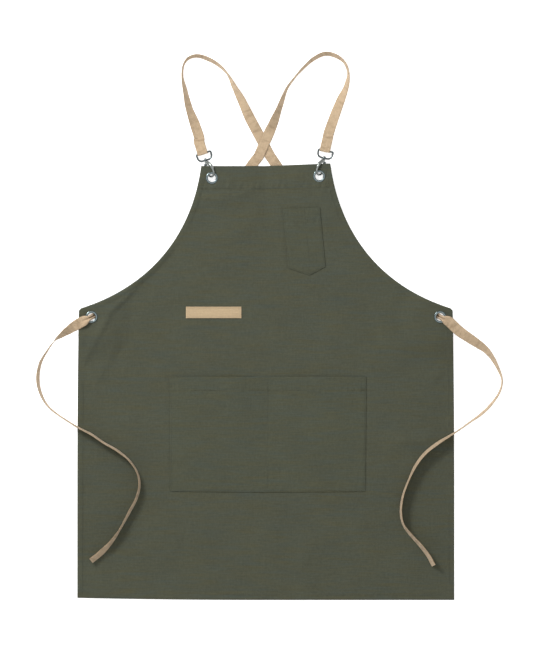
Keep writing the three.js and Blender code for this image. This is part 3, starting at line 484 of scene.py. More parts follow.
# Tape: shares that darken it, with the length, width and start of the bands of painted shade across it, which stand
# for the shade in its crinkles
webbingLook = {
    "mottle": (0.25, 5), "mottleShare": 0.8, "threadShare": 0.22, "shade": 0.3, "bandLength": 7,
    "bandWidth": 26, "bandStart": 0.52, "edge": 1.3, "edgeShade": 0.8, "ribHeight": 0.6,
}


def webbingGroup():
    look = webbingLook
    group, source, result = newGroup(
        "herringboneWebbing",
        [
            ("Base", "NodeSocketColor", (0.48, 0.36, 0.23, 1)), ("Shade", "NodeSocketColor", (0.36, 0.27, 0.17, 1)),
            ("Rib Pitch", "NodeSocketFloat", 5.0), ("Thread Pitch", "NodeSocketFloat", 1.3),
            ("Crinkle", "NodeSocketFloat", 0.0),
        ],
        [("Color", "NodeSocketColor"), ("Height", "NodeSocketFloat")],
    )
    links = group.links

    def do(operation, a, b=None):
        return math2(group, operation, a, b)

    flow = addNode(group, "ShaderNodeAttribute", attribute_name="flow").outputs["Vector"]
    split = group.nodes.new("ShaderNodeSeparateXYZ")
    links.new(flow, split.inputs[0])
    along, across, ribPitch = split.outputs["X"], split.outputs["Y"], source.outputs["Rib Pitch"]
    phase = do("DIVIDE", do("ADD", along, do("PINGPONG", across, ribPitch)), source.outputs["Thread Pitch"])
    wave = do("SINE", do("MULTIPLY", phase, tau))
    rib = do("COSINE", do("MULTIPLY", do("DIVIDE", across, ribPitch), tau))
    share = do("ADD", do("MULTIPLY", wave, look["threadShare"]), look["shade"])
    mottle = do("SUBTRACT", addNoise(group, flow, *look["mottle"]), 0.5)
    share = do("ADD", share, do("MULTIPLY", mottle, look["mottleShare"]))

    # Painted shade: dark bands across the tape in place of the shade that falls in its crinkles
    bandAt = group.nodes.new("ShaderNodeCombineXYZ")
    links.new(do("DIVIDE", along, look["bandLength"]), bandAt.inputs["X"])
    links.new(do("DIVIDE", across, look["bandWidth"]), bandAt.inputs["Y"])
    bands = addNoise(group, bandAt.outputs[0], 1, 1)
    creaseShadeMask = do("MAXIMUM", do("SUBTRACT", bands, look["bandStart"]), 0)
    share = do("ADD", share, do("MULTIPLY", creaseShadeMask, source.outputs["Crinkle"]))

    fromEdge = do("PINGPONG", across, strap["width"] / 2)
    edge = do("MAXIMUM", do("SUBTRACT", 1, do("DIVIDE", fromEdge, look["edge"])), 0)
    share = do("ADD", share, do("MULTIPLY", edge, look["edgeShade"]))
    share = do("MINIMUM", do("MAXIMUM", share, 0), 1)
    links.new(mixed(group, share, source.outputs["Base"], source.outputs["Shade"]), result.inputs["Color"])
    links.new(do("ADD", wave, do("MULTIPLY", rib, look["ribHeight"])), result.inputs["Height"])
    return group


metalLook = {"grain": (900, 3), "roughness": 0.2, "roughnessChange": 0.8}


def metalGroup():
    look = metalLook
    group, source, result = newGroup(
        "wornMetal",
        [("Base", "NodeSocketColor", (0.5, 0.51, 0.53, 1)), ("Wear", "NodeSocketFloat", 0.15)],
        [("Color", "NodeSocketColor"), ("Roughness", "NodeSocketFloat"), ("Height", "NodeSocketFloat")],
    )
    place = group.nodes.new("ShaderNodeTexCoord").outputs["Object"]
    grain = math2(group, "SUBTRACT", addNoise(group, place, *look["grain"]), 0.5)
    worn = math2(group, "MULTIPLY", grain, source.outputs["Wear"])
    roughness = math2(group, "ADD", math2(group, "MULTIPLY", worn, look["roughnessChange"]), look["roughness"])
    group.links.new(tinted(group, source.outputs["Base"], worn), result.inputs["Color"])
    group.links.new(roughness, result.inputs["Roughness"])
    group.links.new(grain, result.inputs["Height"])
    return group


# Finishes: node group with its values, the shader's own values, and distance and strength of the bump
finishes = {
    "canvas": {
        "group": canvasGroup(), "values": {"Thread Size": 0.0009, "Mottle": 0.22, "Slub": 0.3},
        "shader": {"Roughness": 0.9, "Specular IOR Level": 0.25, "Sheen Weight": 0.12, "Sheen Roughness": 0.5},
        "bump": (0.00012, 0.55),
    },
    "webbing": {
        "group": webbingGroup(), "values": {"Rib Pitch": 5.0, "Thread Pitch": 1.5},
        "shader": {"Roughness": 0.85, "Specular IOR Level": 0.3, "Sheen Weight": 0.15},
        "bump": (0.00018, 0.7),
    },
    "metal": {
        "group": metalGroup(), "values": {"Wear": 0.25}, "shader": {"Roughness": 0.3, "Metallic": 1.0},
        "bump": (0.00003, 0.3),
    },
}
thread = {"roughness": 0.7, "noise": 700, "darkest": 0.75}


def finishMaterial(name, finishName, **values):
    finish = finishes[finishName]
    material, tree, shader = newMaterial(name, finish["shader"])
    node = tree.nodes.new("ShaderNodeGroup")
    node.node_tree = finish["group"]
    for key, value in {**finish["values"], **values}.items():
        node.inputs[key].default_value = value
    tree.links.new(node.outputs["Color"], shader.inputs["Base Color"])
    if "Roughness" in node.outputs.keys():
        tree.links.new(node.outputs["Roughness"], shader.inputs["Roughness"])
    relief = addNode(tree, "ShaderNodeBump")
    relief.inputs["Distance"].default_value, relief.inputs["Strength"].default_value = finish["bump"]
    tree.links.new(node.outputs["Height"], relief.inputs["Height"])
    tree.links.new(relief.outputs["Normal"], shader.inputs["Normal"])
    return material


def threadMaterial(name, colour):
    material, tree, shader = newMaterial(name, {"Roughness": thread["roughness"]})
    dark = [channel * thread["darkest"] for channel in colour]
    tones = mixed(tree, addNoise(tree, None, thread["noise"]), (*colour, 1), (*dark, 1))
    tree.links.new(tones, shader.inputs["Base Color"])
    return material


canvas = finishMaterial("olive canvas", "canvas", Base=(0.0655, 0.0697, 0.0461, 1))
canvasPocket = finishMaterial("olive canvas pocket", "canvas", Base=(0.0650, 0.0700, 0.0460, 1))
# The strap webbing carries the bands of painted crease shade
webbing = finishMaterial(
    "strap webbing", "webbing", Base=(0.580, 0.436, 0.286, 1), Shade=(0.375, 0.270, 0.166, 1), Crinkle=2.6,
)
patchWebbing = finishMaterial("patch webbing", "webbing", Base=(0.562, 0.421, 0.258, 1), Shade=(0.42, 0.308, 0.182, 1))
eyeletMetal = finishMaterial("eyelet metal", "metal", Base=(0.135, 0.165, 0.168, 1))
claspMetal = finishMaterial("clasp metal", "metal", Base=(0.115, 0.135, 0.138, 1))
hookMetal = finishMaterial("hook metal", "metal", Base=(0.29, 0.31, 0.295, 1))
oliveThread = threadMaterial("olive thread", (0.056, 0.060, 0.040))
# Pocket thread: its own dark olive, made darker still so that its lines also paint the shade along the pockets' sewn
# edges
pocketThreadWithEdgeShade = threadMaterial("dark olive thread with painted edge shade", (0.043, 0.047, 0.031))
beigeThread = threadMaterial("beige thread", (0.56, 0.44, 0.30))


# Stitches: pitch, share of it that shows, how deep they sit, and how thin and where they taper
stitch = {"pitch": 3.2, "share": 0.72, "sink": 0.1, "tip": 0.35, "body": (0.25, 0.75), "sides": 5}


def stitchLine(points, radius, pitch):
    points = np.asarray(points, dtype=float)
    steps = np.linalg.norm(np.diff(points, axis=0), axis=1)
    travel = np.concatenate([[0], np.cumsum(steps)])
    count = max(int(travel[-1] / pitch), 1)
    tip, sides = stitch["tip"], stitch["sides"]
    shape = [(0.0, tip), *[(at, 1.0) for at in stitch["body"]], (1.0, tip)]
    turns = np.arange(sides) / sides * tau
    parts = []
    for i in range(count):
        start, end = i * travel[-1] / count, (i + stitch["share"]) * travel[-1] / count
        ends = [np.array([np.interp(at, travel, points[:, k]) for k in range(3)]) for at in (start, end)]
        way = ends[1] - ends[0]
        length = np.linalg.norm(way)
        if length < 1e-6:
            continue
        way /= length
        across = np.cross([0, 0, 1.0], way)
        across /= max(np.linalg.norm(across), 1e-9)
        normal = np.cross(way, across)
        lift = normal * (radius - stitch["sink"])
        around = np.cos(turns)[:, None] * across + np.sin(turns)[:, None] * normal
        rings = []
        for at, size in shape:
            centre = lerp(ends[0], ends[1], at) + lift * (size - tip * (1 - size))
            rings.append(centre + radius * size * around)
        parts.append(loft(rings))
    return parts


def stitchPiece(name, lines, material, radius, pitch=stitch["pitch"]):
    parts = []
    for line in lines:
        parts += stitchLine(line, radius, pitch)
    points, faces = joinParts(parts)
    makePiece(name, points, faces, material, sharp=80)


# Panel
print("stage: panel")

panelLook = {
    "hemSteps": [0, 0.35, 1, 3, 6, 9, 9.8, 10.4, 11.2, 12, 12.8, 14.5], "spacing": 4.3, "bibSpacing": 1.9,
    "bibSteps": [0, 0.35, 1, 2.2], "bibRefined": 66, "columns": 162, "stitch": 10, "bibStitch": 43,
    "thread": 0.24, "straightTo": 535, "groove": 0.3, "pucker": 0.5, "bibPucker": 1.0, "curl": 3.4,
    "curlWidth": 12, "curlAt": (-205, 638), "press": 0.7, "pressWidth": 4, "least": 0.5, "underShare": 0.8,
    "holeRoom": 0.9, "swells": [(1.2, 62, 11), (0.45, 23, 12)],
}
rimShape = {"width": 1.2, "least": 0.16}


def rimShare(distance):
    share = np.clip(distance, 0, rimShape["width"]) / rimShape["width"]
    return np.clip(np.sqrt(share), rimShape["least"], 1)


def rimmedSheet(x, y, under, over, rim):
    # Both faces draw together towards the rim, which makes the edge round
    middle = (under + over) / 2
    top = np.stack([x, y, lerp(middle, over, rim)], -1)
    bottom = np.stack([x, y, lerp(middle, under, rim)], -1)
    return closedSheet(top, bottom)


# Creases of the cloth: both ends, half width and height in millimetres. Above 0 is a ridge,
# below 0 a step down to the left of the way from the first end to the second
creases = [
    (-249, 591, -291, 549, 3.6, -4.2), (-288, 555, -315, 505, 4, -3.9), (-311, 513, -347, 445, 4, -3.0),
    (-271, 499, -323, 405, 6.5, -3.1), (-227, 615, -257, 587, 7, -2.4), (-120, 771, -76, 760, 5, 1.6),
    (-61, 770, -20, 787, 6, 1.2), (344, 434, 317, 411, 5, -2.0), (322, 305, 244, 294, 5, -2.0),
    (-269, 94, -221, 42, 7, 1.2), (-300, 120, -318, 30, 8, 1.2), (60, 66, 92, 20, 8, 1.2),
    (-40, 700, 30, 736, 14, 1.4), (150, 560, 210, 470, 12, 1.4), (-120, 660, -40, 640, 14, 1.2),
    (-300, 380, -255, 330, 12, 1.4), (262, 588, 230, 620, 7, 1.2), (-70, 806, -64, 790, 5, 0.8),
]
# Small pulls that the stitching makes along the left armhole's hem
hemPulls = [(-250, 598), (-263, 590), (-276, 583), (-285, 578.5), (-296, 572)]
creases += [(x + 4, y + 6, x - 4, y - 6, 2.6, -1.3) for x, y in hemPulls]
creaseLook = {"wander": 0.35, "swell": 4, "ends": 0.3, "holes": (14, 28)}


def creaseRelief(x, y):
    relief = 0
    for startX, startY, endX, endY, width, height in creases:
        wayX, wayY = endX - startX, endY - startY
        length = math.hypot(wayX, wayY)
        share = ((x - startX) * wayX + (y - startY) * wayY) / length ** 2
        across = (wayX * (y - startY) - wayY * (x - startX)) / length
        across = across / (width * (1 + creaseLook["wander"] * softNoise(share * 3, share * 0, 1, 51)))
        step = (1 - smoothstep(across, -1, 1)) * bump(np.minimum(across, 0), creaseLook["swell"])
        profile = step if height < 0 else bump(across, 1)
        relief = relief + abs(height) * profile * fade(abs(share - 0.5), creaseLook["ends"], creaseLook["ends"])
    toHoles = np.minimum(nearest(x, y, waistEyelets.values()), nearest(x, y, bibEyelets.values()))
    return relief * smoothstep(toHoles, *creaseLook["holes"])


def outlinePoints(placeAt):
    t = np.linspace(0, 1, 60)
    edges = [placeAt(t, t * 0), placeAt(t * 0, t), placeAt(t * 0 + 1, t)]
    return np.concatenate([np.stack(edge, -1) for edge in edges])


def pocketPress(x, y):
    # The cloth is pulled down a little along the sewn edges of the pockets
    edges = np.concatenate([outlinePoints(waistPocketAt), outlinePoints(chestPocketAt)])
    away = np.full(np.shape(x), 99.0)
    for edgeX, edgeY in edges:
        away = np.minimum(away, np.hypot(x - edgeX, y - edgeY))
    return -panelLook["press"] * bump(away, panelLook["pressWidth"])


def armholeCurl(x, y, fromSide):
    near = np.hypot(x - panelLook["curlAt"][0], y - panelLook["curlAt"][1])
    return panelLook["curl"] * fade(fromSide, 1, panelLook["curlWidth"]) * fade(near, 20, 50)


def hemPucker(along, distance, pitch, seed):
    # Waves along a seam, with a wandering phase and a strength that comes and goes
    level = distance * 0
    wobble = softNoise(along, level + seed * 7.3, 40, seed) * 1.6
    strength = 0.55 + 0.45 * softNoise(along, level + seed, 27, seed + 1)
    ragged = softNoise(along + 0.5 * distance, distance * 0.22 + seed * 3.1, pitch * 0.5, seed + 2)
    return (0.35 * np.sin(tau * along / pitch + wobble * 2) + 0.95 * ragged) * strength


def fineRelief(x, y, fromSide, fromBottom, fromTop):
    look = panelLook
    outline = np.minimum(fromSide, fromBottom)
    along = np.where(fromSide < fromBottom, y - abs(x), x)
    onArmhole = smoothstep(y, apron["waistHeight"], apron["waistHeight"] + 30)
    fromBibStitch = fromTop - look["bibStitch"]
    relief = -look["groove"] * 0.2 * bump(outline - look["stitch"], 1.2)
    relief += look["pucker"] * (1 + onArmhole) * hemPucker(along, outline, 14, 3) * bump(outline - 8, 8)
    relief -= look["groove"] * 0.3 * bump(fromBibStitch, 1.4)
    relief += look["bibPucker"] * hemPucker(x, fromTop, 12, 5) * bump(fromBibStitch + 5, 13)
    soft = freeness(x, y)
    for height, size, seed in look["swells"]:
        relief += soft * height * softNoise(x, y, size, seed)
    relief += creaseRelief(x, y) + armholeCurl(x, y, fromSide) + pocketPress(x, y)
    return relief


def panelGrid():
    look = panelLook
    length = apron["length"]
    hem = np.array(look["hemSteps"])
    top = np.concatenate([look["bibSteps"], np.arange(4, look["bibRefined"], look["bibSpacing"])])
    free = length - top[-1] - hem[-1]
    middle = np.linspace(hem[-1], length - top[-1], int(free / look["spacing"]) + 1)
    rows = np.concatenate([hem[:-1], middle, length - top[:-1][::-1]])
    rims = [(halfWidthAt(rows, inset), np.full_like(rows, inset)) for inset in hem]
    core = halfWidthAt(rows, hem[-1])
    shares = np.linspace(-1, 1, look["columns"])[1:-1]
    inner = [(core * share, hem[-1] + core * (1 - abs(share))) for share in shares]
    columns = [(-half, inset) for half, inset in rims] + inner + rims[::-1]
    x = np.stack([column for column, distance in columns], 1)
    y = np.repeat(rows[:, None], x.shape[1], 1)
    return x, y, np.stack([distance for column, distance in columns], 1)


def makePanel():
    x, flatY, fromSide = panelGrid()
    fromBottom, fromTop = flatY, apron["length"] - flatY
    y = flatY + skew(x, flatY)
    folded = np.maximum.reduce([
        fade(fromSide, apron["hem"] - 5, 8), fade(fromBottom, apron["hem"] - 5, 8),
        fade(fromTop, apron["bibHem"] - 2, 4),
    ])
    thickness = lerp(apron["cloth"], apron["folded"], folded)
    rim = np.minimum.reduce([rimShare(fromSide), rimShare(fromBottom), rimShare(fromTop)])
    relief = fineRelief(x, y, fromSide, fromBottom, fromTop)
    under = np.maximum(clothRise(x, y) + np.where(relief > 0, panelLook["underShare"], 1) * relief, 0)
    over = np.maximum(clothRise(x, y) + thickness + relief, under + panelLook["least"])
    points, faces = rimmedSheet(x, y, under, over, rim)
    piece = makePiece("panel_cloth", points, faces, canvas, sharp=70)
    cutHoles(piece)
    return piece


def cutHoles(piece):
    mesh = bmesh.new()
    radius = (eyelet["hole"] / 2 + eyelet["wall"] + panelLook["holeRoom"]) * mm
    for at in (*bibEyelets.values(), *waistEyelets.values()):
        place = (np.array([at[0], at[1], 5.0]) + shift) * mm
        bmesh.ops.create_cone(
            mesh, cap_ends=True, segments=40, radius1=radius, radius2=radius, depth=0.08,
            matrix=Matrix.Translation(Vector(place)),
        )
    cutter = bpy.data.objects.new("cutter", bpy.data.meshes.new("cutter"))
    mesh.to_mesh(cutter.data)
    mesh.free()
    bpy.context.scene.collection.objects.link(cutter)
    modifier = piece.modifiers.new("holes", "BOOLEAN")
    modifier.operation, modifier.solver, modifier.object = "DIFFERENCE", "EXACT", cutter
    evaluated = piece.evaluated_get(bpy.context.evaluated_depsgraph_get())
    result = bpy.data.meshes.new_from_object(evaluated)
    piece.modifiers.clear()
    piece.data = result
    bpy.data.objects.remove(cutter)


panelCloth = makePanel()
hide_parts("apron_panel")


def seamPoints(x, y, extra=0.0):
    x, y = np.asarray(x, dtype=float), np.asarray(y, dtype=float)
    return np.stack([x, y, clothTop(x, y) + extra], -1)


def outlineSeam(side):
    inset, straightTo = panelLook["stitch"], panelLook["straightTo"]
    y = np.concatenate([np.linspace(inset, straightTo, 90), np.linspace(straightTo, apron["length"] - 1, 260)[1:]])
    x = side * halfWidthAt(y, inset)
    return seamPoints(x, y + skew(x, y), -panelLook["groove"] * 0.7)


def levelSeam(height, extra):
    half = float(halfWidthAt(height)) - 1.5
    x = np.linspace(-half, half, 160)
    y = np.full_like(x, height)
    return seamPoints(x, y + skew(x, y), extra)


panelSeams = [
    outlineSeam(-1), outlineSeam(1), levelSeam(panelLook["stitch"], -0.2),
    levelSeam(apron["length"] - panelLook["bibStitch"], -0.1),
]
stitchPiece("panel_stitching", panelSeams, oliveThread, panelLook["thread"])


# Pockets
print("stage: pockets")

pocketLook = {
    "cloth": 0.6, "folded": 0.7, "fullness": 2.2, "edgeFold": 7, "rims": [0, 0.3, 0.9, 2.2], "start": 4,
    "press": 0.2, "pressAt": 2.6, "hemPress": 0.1, "hemPucker": 0.9, "edgePucker": 0.3,
    "swells": [(0.5, 34, 23), (0.2, 13, 24)], "threadSink": 0.1,
}


def pocketEase(pocket, seams, across, rise):
    ends = np.array([0.0, *seams, 1.0])
    span = np.clip(np.searchsorted(ends, across, side="right") - 1, 0, len(ends) - 2)
    share = (across - ends[span]) / (ends[span + 1] - ends[span])
    fullness = pocketLook["fullness"]
    return pocket["softEase"] * (1 - abs(2 * share - 1) ** fullness) * (1 - (1 - rise) ** fullness)


def makePocket(name, pocket, seams, placeAt, height, acrossCount, riseCount, grooves):
    look, width = pocketLook, pocket["width"]
    rims, start = np.array(look["rims"]), look["start"]
    across = np.concatenate([
        rims / width, np.linspace(start / width, 1 - start / width, acrossCount), 1 - rims[::-1] / width,
    ])
    hemLine = 1 - pocket["hem"] / height
    rise = np.concatenate([
        rims / height, np.linspace(start / height, hemLine - 5 / height, riseCount),
        np.linspace(hemLine - 3.5 / height, 1 - 3 / height, 14), 1 - rims[:3][::-1] / height,
    ])

    def layers(a, r):
        x, y = placeAt(a, r)
        edge = np.minimum.reduce([a * width, (1 - a) * width, r * height])
        fromHem = (1 - r) * height - pocket["hem"]
        folded = np.maximum(fade(fromHem, -0.8, 1.6), fade(edge, look["edgeFold"], 1.5))
        under = clothTop(x, y) + apron["clearance"] + pocketEase(pocket, seams, a, r)
        return x, y, edge, fromHem, under, lerp(look["cloth"], look["folded"], folded)

    a, r = np.meshgrid(across, rise)
    x, y, edge, fromHem, under, thickness = layers(a, r)
    rim = np.minimum(rimShare(edge), rimShare((1 - r) * height))
    relief = -look["press"] * bump(edge - look["pressAt"], 0.9) - look["hemPress"] * bump(fromHem, 1.3)
    relief += look["hemPucker"] * hemPucker(x, fromHem, 10, 21) * bump(fromHem, 9)
    relief += look["edgePucker"] * hemPucker(y, edge, 12, 22) * bump(edge - 4, 6)
    for seam in grooves:
        relief -= pocket["groove"] * bump((a - seam) * width, 1.2)
    for swell, size, seed in look["swells"]:
        relief += swell * softNoise(x, y, size, seed) * smoothstep(edge, 2, 20)
    points, faces = rimmedSheet(x, y, under, under + thickness + relief, rim)
    piece = makePiece(name + "_cloth", points, faces, canvasPocket, sharp=70)
    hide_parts(name)

    def surface(a, r):
        x, y, edge, fromHem, under, thickness = layers(*np.broadcast_arrays(a, r))
        return np.stack([x, y, under + thickness - look["threadSink"]], -1)

    return piece, surface


waistCloth, waistSurface = makePocket(
    "waist_pocket", waistPocket, [0.5], waistPocketAt, waistPocket["height"], 120, 62, [0.5],
)
chestCloth, chestSurface = makePocket(
    "chest_pocket", chestPocket, [], chestPocketAt, chestPocket["side"], 44, 46, [chestPocket["seam"], 0.06],
)


def pocketSeams(surface, pocket, height, seams):
    width = pocket["width"]
    a, r = pocket["stitchInset"] / width, pocket["stitchInset"] / height
    up = np.linspace(r, 1 - 1 / height, 60)
    across = np.linspace(a, 1 - a, 90)
    hemAcross = np.linspace(1.5 / width, 1 - 1.5 / width, 120)
    lines = [surface(a, up), surface(1 - a, up), surface(across, r), surface(hemAcross, 1 - pocket["hem"] / height)]
    return lines + [surface(seam, up) for seam in seams]


def cornerBar(surface, pocket, side):
    near, far = pocket["stitchInset"] / pocket["width"], pocket["barWidth"] / pocket["width"]
    if side > 0:
        near, far = 1 - near, 1 - far
    low, high = 1 - pocket["barHeight"] / pocket["height"], 1 - 1.5 / pocket["height"]
    corners = [(near, high), (far, high), (far, low), (near, low)]
    t = np.linspace(0, 1, 12)
    return [surface(lerp(a0, a1, t), lerp(r0, r1, t)) for (a0, r0), (a1, r1) in zip(corners, corners[1:])]


waistSeams = pocketSeams(waistSurface, waistPocket, waistPocket["height"], [0.5])
for side in (-1, 1):
    waistSeams += cornerBar(waistSurface, waistPocket, side)
stitchPiece("waist_pocket_stitching", waistSeams, pocketThreadWithEdgeShade, 0.22)
chestSeams = pocketSeams(chestSurface, chestPocket, chestPocket["side"], [chestPocket["seam"], 0.115])
stitchPiece("chest_pocket_stitching", chestSeams, pocketThreadWithEdgeShade, 0.18, pitch=2.8)


# Patch
print("stage: patch")

patchLook = {"rims": [0, 0.3, 0.9], "press": 0.22, "rough": 0.08, "inset": 3.4, "sink": 0.15, "thread": 0.28}


def makePatch():
    look = patchLook
    width, height = patch["width"], patch["height"]
    rims = np.array(look["rims"])
    along = np.concatenate([rims, np.linspace(2.5, width - 2.5, 60), width - rims[::-1]])
    over = np.concatenate([rims, np.linspace(2.2, height - 2.2, 20), height - rims[::-1]])
    u, v = np.meshgrid(along, over)
    x, y = patch["x"] - width / 2 + u, patch["y"] - height / 2 + v
    edge = np.minimum.reduce([u, width - u, v, height - v])
    under = clothTop(x, y) + apron["clearance"]
    relief = -look["press"] * bump(edge - look["inset"], 0.9) + look["rough"] * softNoise(x, y, 6, 31)
    points, faces = rimmedSheet(x, y, under, under + patch["thickness"] + relief, rimShare(edge))
    flow = np.stack([u, v, u * 0], -1).reshape(-1, 3)
    piece = makePiece(
        "patch_webbing_piece", points, faces, patchWebbing, flow=np.concatenate([flow, flow]),
    )
    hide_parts("tape_patch")
    left, right = patch["x"] - width / 2 + look["inset"], patch["x"] + width / 2 - look["inset"]
    low, high = patch["y"] - height / 2 + look["inset"], patch["y"] + height / 2 - look["inset"]
    t = np.linspace(0, 1, 60)

    def line(x0, y0, x1, y1):
        return seamPoints(lerp(x0, x1, t), lerp(y0, y1, t), apron["clearance"] + patch["thickness"] - look["sink"])

    box = high - low
    corners = [(left, low), (right, low), (right, high), (left, high), (left, low)]
    lines = [line(*start, *end) for start, end in zip(corners, corners[1:])]
    for start, end in ((left, left + box), (right - box, right)):
        lines += [line(start, low, end, high), line(start, high, end, low)]
    lines += [line(at, low, at, high) for at in (left + box, right - box)]
    stitchPiece("patch_stitching", lines, beigeThread, look["thread"], pitch=2.9)


makePatch()


# Straps
print("stage: straps")

# Rows of a loop: share across from the clasp to the crossing, share of the rise, flat share of the tape
loops = {
    -1: [
        (-0.069, 0.144, 1), (-0.143, 0.297, 0.95), (-0.24, 0.467, 0.66), (-0.305, 0.65, 0.42),
        (-0.348, 0.79, 0.16), (-0.325, 0.915, 0.14), (-0.24, 0.978, 0.28), (-0.1, 1, 0.34),
        (0.085, 0.965, 0.38), (0.26, 0.9, 0.3), (0.4, 0.81, 0.16), (0.51, 0.682, 0.48),
        (0.62, 0.554, 0.76), (0.763, 0.364, 0.97),
    ],
    1: [
        (-0.045, 0.179, 1), (-0.15, 0.374, 0.92), (-0.236, 0.517, 0.8), (-0.332, 0.67, 0.46),
        (-0.36, 0.803, 0.2), (-0.301, 0.906, 0.24), (-0.179, 0.97, 0.38), (0.003, 0.999, 0.4),
        (0.188, 0.95, 0.36), (0.346, 0.865, 0.26), (0.498, 0.757, 0.15), (0.63, 0.64, 0.24),
        (0.742, 0.455, 0.52), (0.842, 0.292, 0.86),
    ],
}
# Rows of a tie: share of its reach outwards, share of its drop, flat share
ties = {
    -1: {"reach": 103, "drop": 466, "rows": [
        (0.285, 0.034, 0.97), (0.44, 0.057, 0.76), (0.57, 0.078, 0.46),
        (0.69, 0.1, 0.06), (0.828, 0.141, 0.13), (0.945, 0.188, 0.26),
        (0.994, 0.25, 0.33), (0.948, 0.309, 0.26), (0.8, 0.367, 0.15),
        (0.513, 0.416, 0.1), (0.237, 0.454, 0.14), (0.004, 0.481, 0.18),
        (-0.23, 0.516, 0.18), (-0.485, 0.549, 0.19), (-0.7, 0.588, 0.14),
        (-0.85, 0.638, 0.14), (-0.89, 0.69, 0.18), (-0.83, 0.745, 0.22),
        (-0.7, 0.8, 0.24), (-0.54, 0.866, 0.13), (-0.39, 0.916, 0.31),
        (-0.2, 0.962, 0.52), (0.009, 1, 0.5),
    ]},
    1: {"reach": 119, "drop": 475, "rows": [
        (0.309, 0.057, 1), (0.486, 0.088, 0.9), (0.633, 0.113, 0.78),
        (0.735, 0.133, 0.62), (0.831, 0.162, 0.45), (0.937, 0.211, 0.27),
        (0.995, 0.256, 0.12), (0.955, 0.3, 0.17), (0.802, 0.356, 0.25),
        (0.65, 0.392, 0.24), (0.465, 0.425, 0.13), (0.249, 0.463, 0.12),
        (-0.053, 0.51, 0.3), (-0.249, 0.55, 0.27), (-0.399, 0.6, 0.24),
        (-0.511, 0.66, 0.13), (-0.6, 0.721, 0.17), (-0.63, 0.785, 0.19),
        (-0.59, 0.835, 0.17), (-0.471, 0.876, 0.26), (-0.326, 0.916, 0.32),
        (-0.19, 0.96, 0.36), (-0.103, 1, 0.38),
    ]},
}
# Rows of the way through an eyelet: along in eyelet radii, climb share or none, gather
passage = [
    (-3.2, None, 0.1), (-1.7, None, 0.7), (-0.85, -0.98, 0.95), (-0.42, -0.74, 1), (-0.13, -0.3, 1),
    (0.13, 0.3, 1), (0.42, 0.74, 1), (0.9, 0.92, 0.62), (1.6, 0.8, 0.12),
]
strapLook = {
    "steps": 12, "columns": 17, "selvedge": 0.9, "selvedgeLeast": 0.35, "crinkle": 4.2, "crinkleSize": 8,
    "groupSize": 60, "deepest": 0.85, "highest": 0.1, "backSteps": 20, "wrapSteps": 16,
}


def catmull(points, share):
    # Centripetal curve through the rows, as in the solids
    points = np.asarray(points, dtype=float)
    spans = len(points) - 1
    place = share * spans
    i = min(int(math.floor(place)), spans - 1)
    weight = place - i
    before = points[i - 1] if i > 0 else 2 * points[0] - points[1]
    after = points[i + 2] if i + 2 <= spans else 2 * points[-1] - points[-2]
    p0, p1, p2, p3 = before, points[i], points[i + 1], after
    d0, d1, d2 = (max(np.sum((b - a) ** 2) ** 0.25, 1e-4) for a, b in ((p0, p1), (p1, p2), (p2, p3)))
    t1 = ((p1 - p0) / d0 - (p2 - p0) / (d0 + d1) + (p2 - p1) / d1) * d1
    t2 = ((p2 - p1) / d1 - (p3 - p1) / (d1 + d2) + (p3 - p2) / d2) * d1
    c2, c3 = -3 * p1 + 3 * p2 - 2 * t1 - t2, 2 * p1 - 2 * p2 + t1 + t2
    at = p1 + t1 * weight + c2 * weight ** 2 + c3 * weight ** 3
    way = t1 + 2 * c2 * weight + 3 * c3 * weight ** 2
    return at, way / np.linalg.norm(way)


def tapeStations(rows, steps, turn):
    points = [row[:3] for row in rows]
    spans = len(rows) - 1
    stations = []
    for i in range(spans * steps + 1):
        share = i / (spans * steps)
        index = min(int(share * spans), spans - 1)
        part = share * spans - index
        eased = part * part * (3 - 2 * part) * 0.5 + part * 0.5
        at, way = catmull(points, share)
        flat = float(np.clip(lerp(rows[index][3], rows[index + 1][3], eased), 0, 1))
        gather = lerp(rows[index][4], rows[index + 1][4], part)
        roll = math.acos(flat) * turn
        level = np.cross([0, 0, 1.0], way)
        level /= np.linalg.norm(level)
        lateral = level * math.cos(roll) + np.cross(way, level) * math.sin(roll)
        normal = np.cross(way, lateral)
        centre = at.copy()
        centre[2] = max(at[2], 0) + float(sectionHalf(flat, gather))
        stations.append((centre, lateral, normal, gather))
    return stations


def letFall(rows, fixed):
    flat = np.array([row[:2] for row in rows])
    heights = np.array([row[2] for row in rows])
    gaps = np.linalg.norm(flat[:, None] - flat[None], axis=2)
    raised = (heights[None] - strap["fall"] * gaps).max(axis=1)
    return [row if i in fixed else (*row[:2], max(row[2], raised[i]), *row[3:]) for i, row in enumerate(rows)]


def supportAt(x, y):
    turns = np.linspace(0, tau, 12, endpoint=False)
    reach = np.array([0, strap["width"] / 2, strap["width"]])
    px = x + (reach[:, None] * np.cos(turns)).ravel()
    py = y + (reach[:, None] * np.sin(turns)).ravel()
    flatY = py - skew(px, py)
    inside = (flatY > 0) & (flatY < apron["length"]) & (abs(px) < halfWidthAt(flatY))
    return float(np.max(np.where(inside, clothTop(px, py) + apron["clearance"], 0)))


def claspPlace(side):
    lean = clasp["lean"][side]
    aside = np.array([-side * math.cos(lean), math.sin(lean)])
    along = np.array([side * math.sin(lean), math.cos(lean)])
    swivel = bibEyelets[side] + along * (clasp["seatAlong"] + clasp["hookLength"])
    swivel = swivel + aside * (clasp["seatAside"][side] - clasp["offset"] * math.cos(clasp["tilt"]))
    return along, aside, swivel


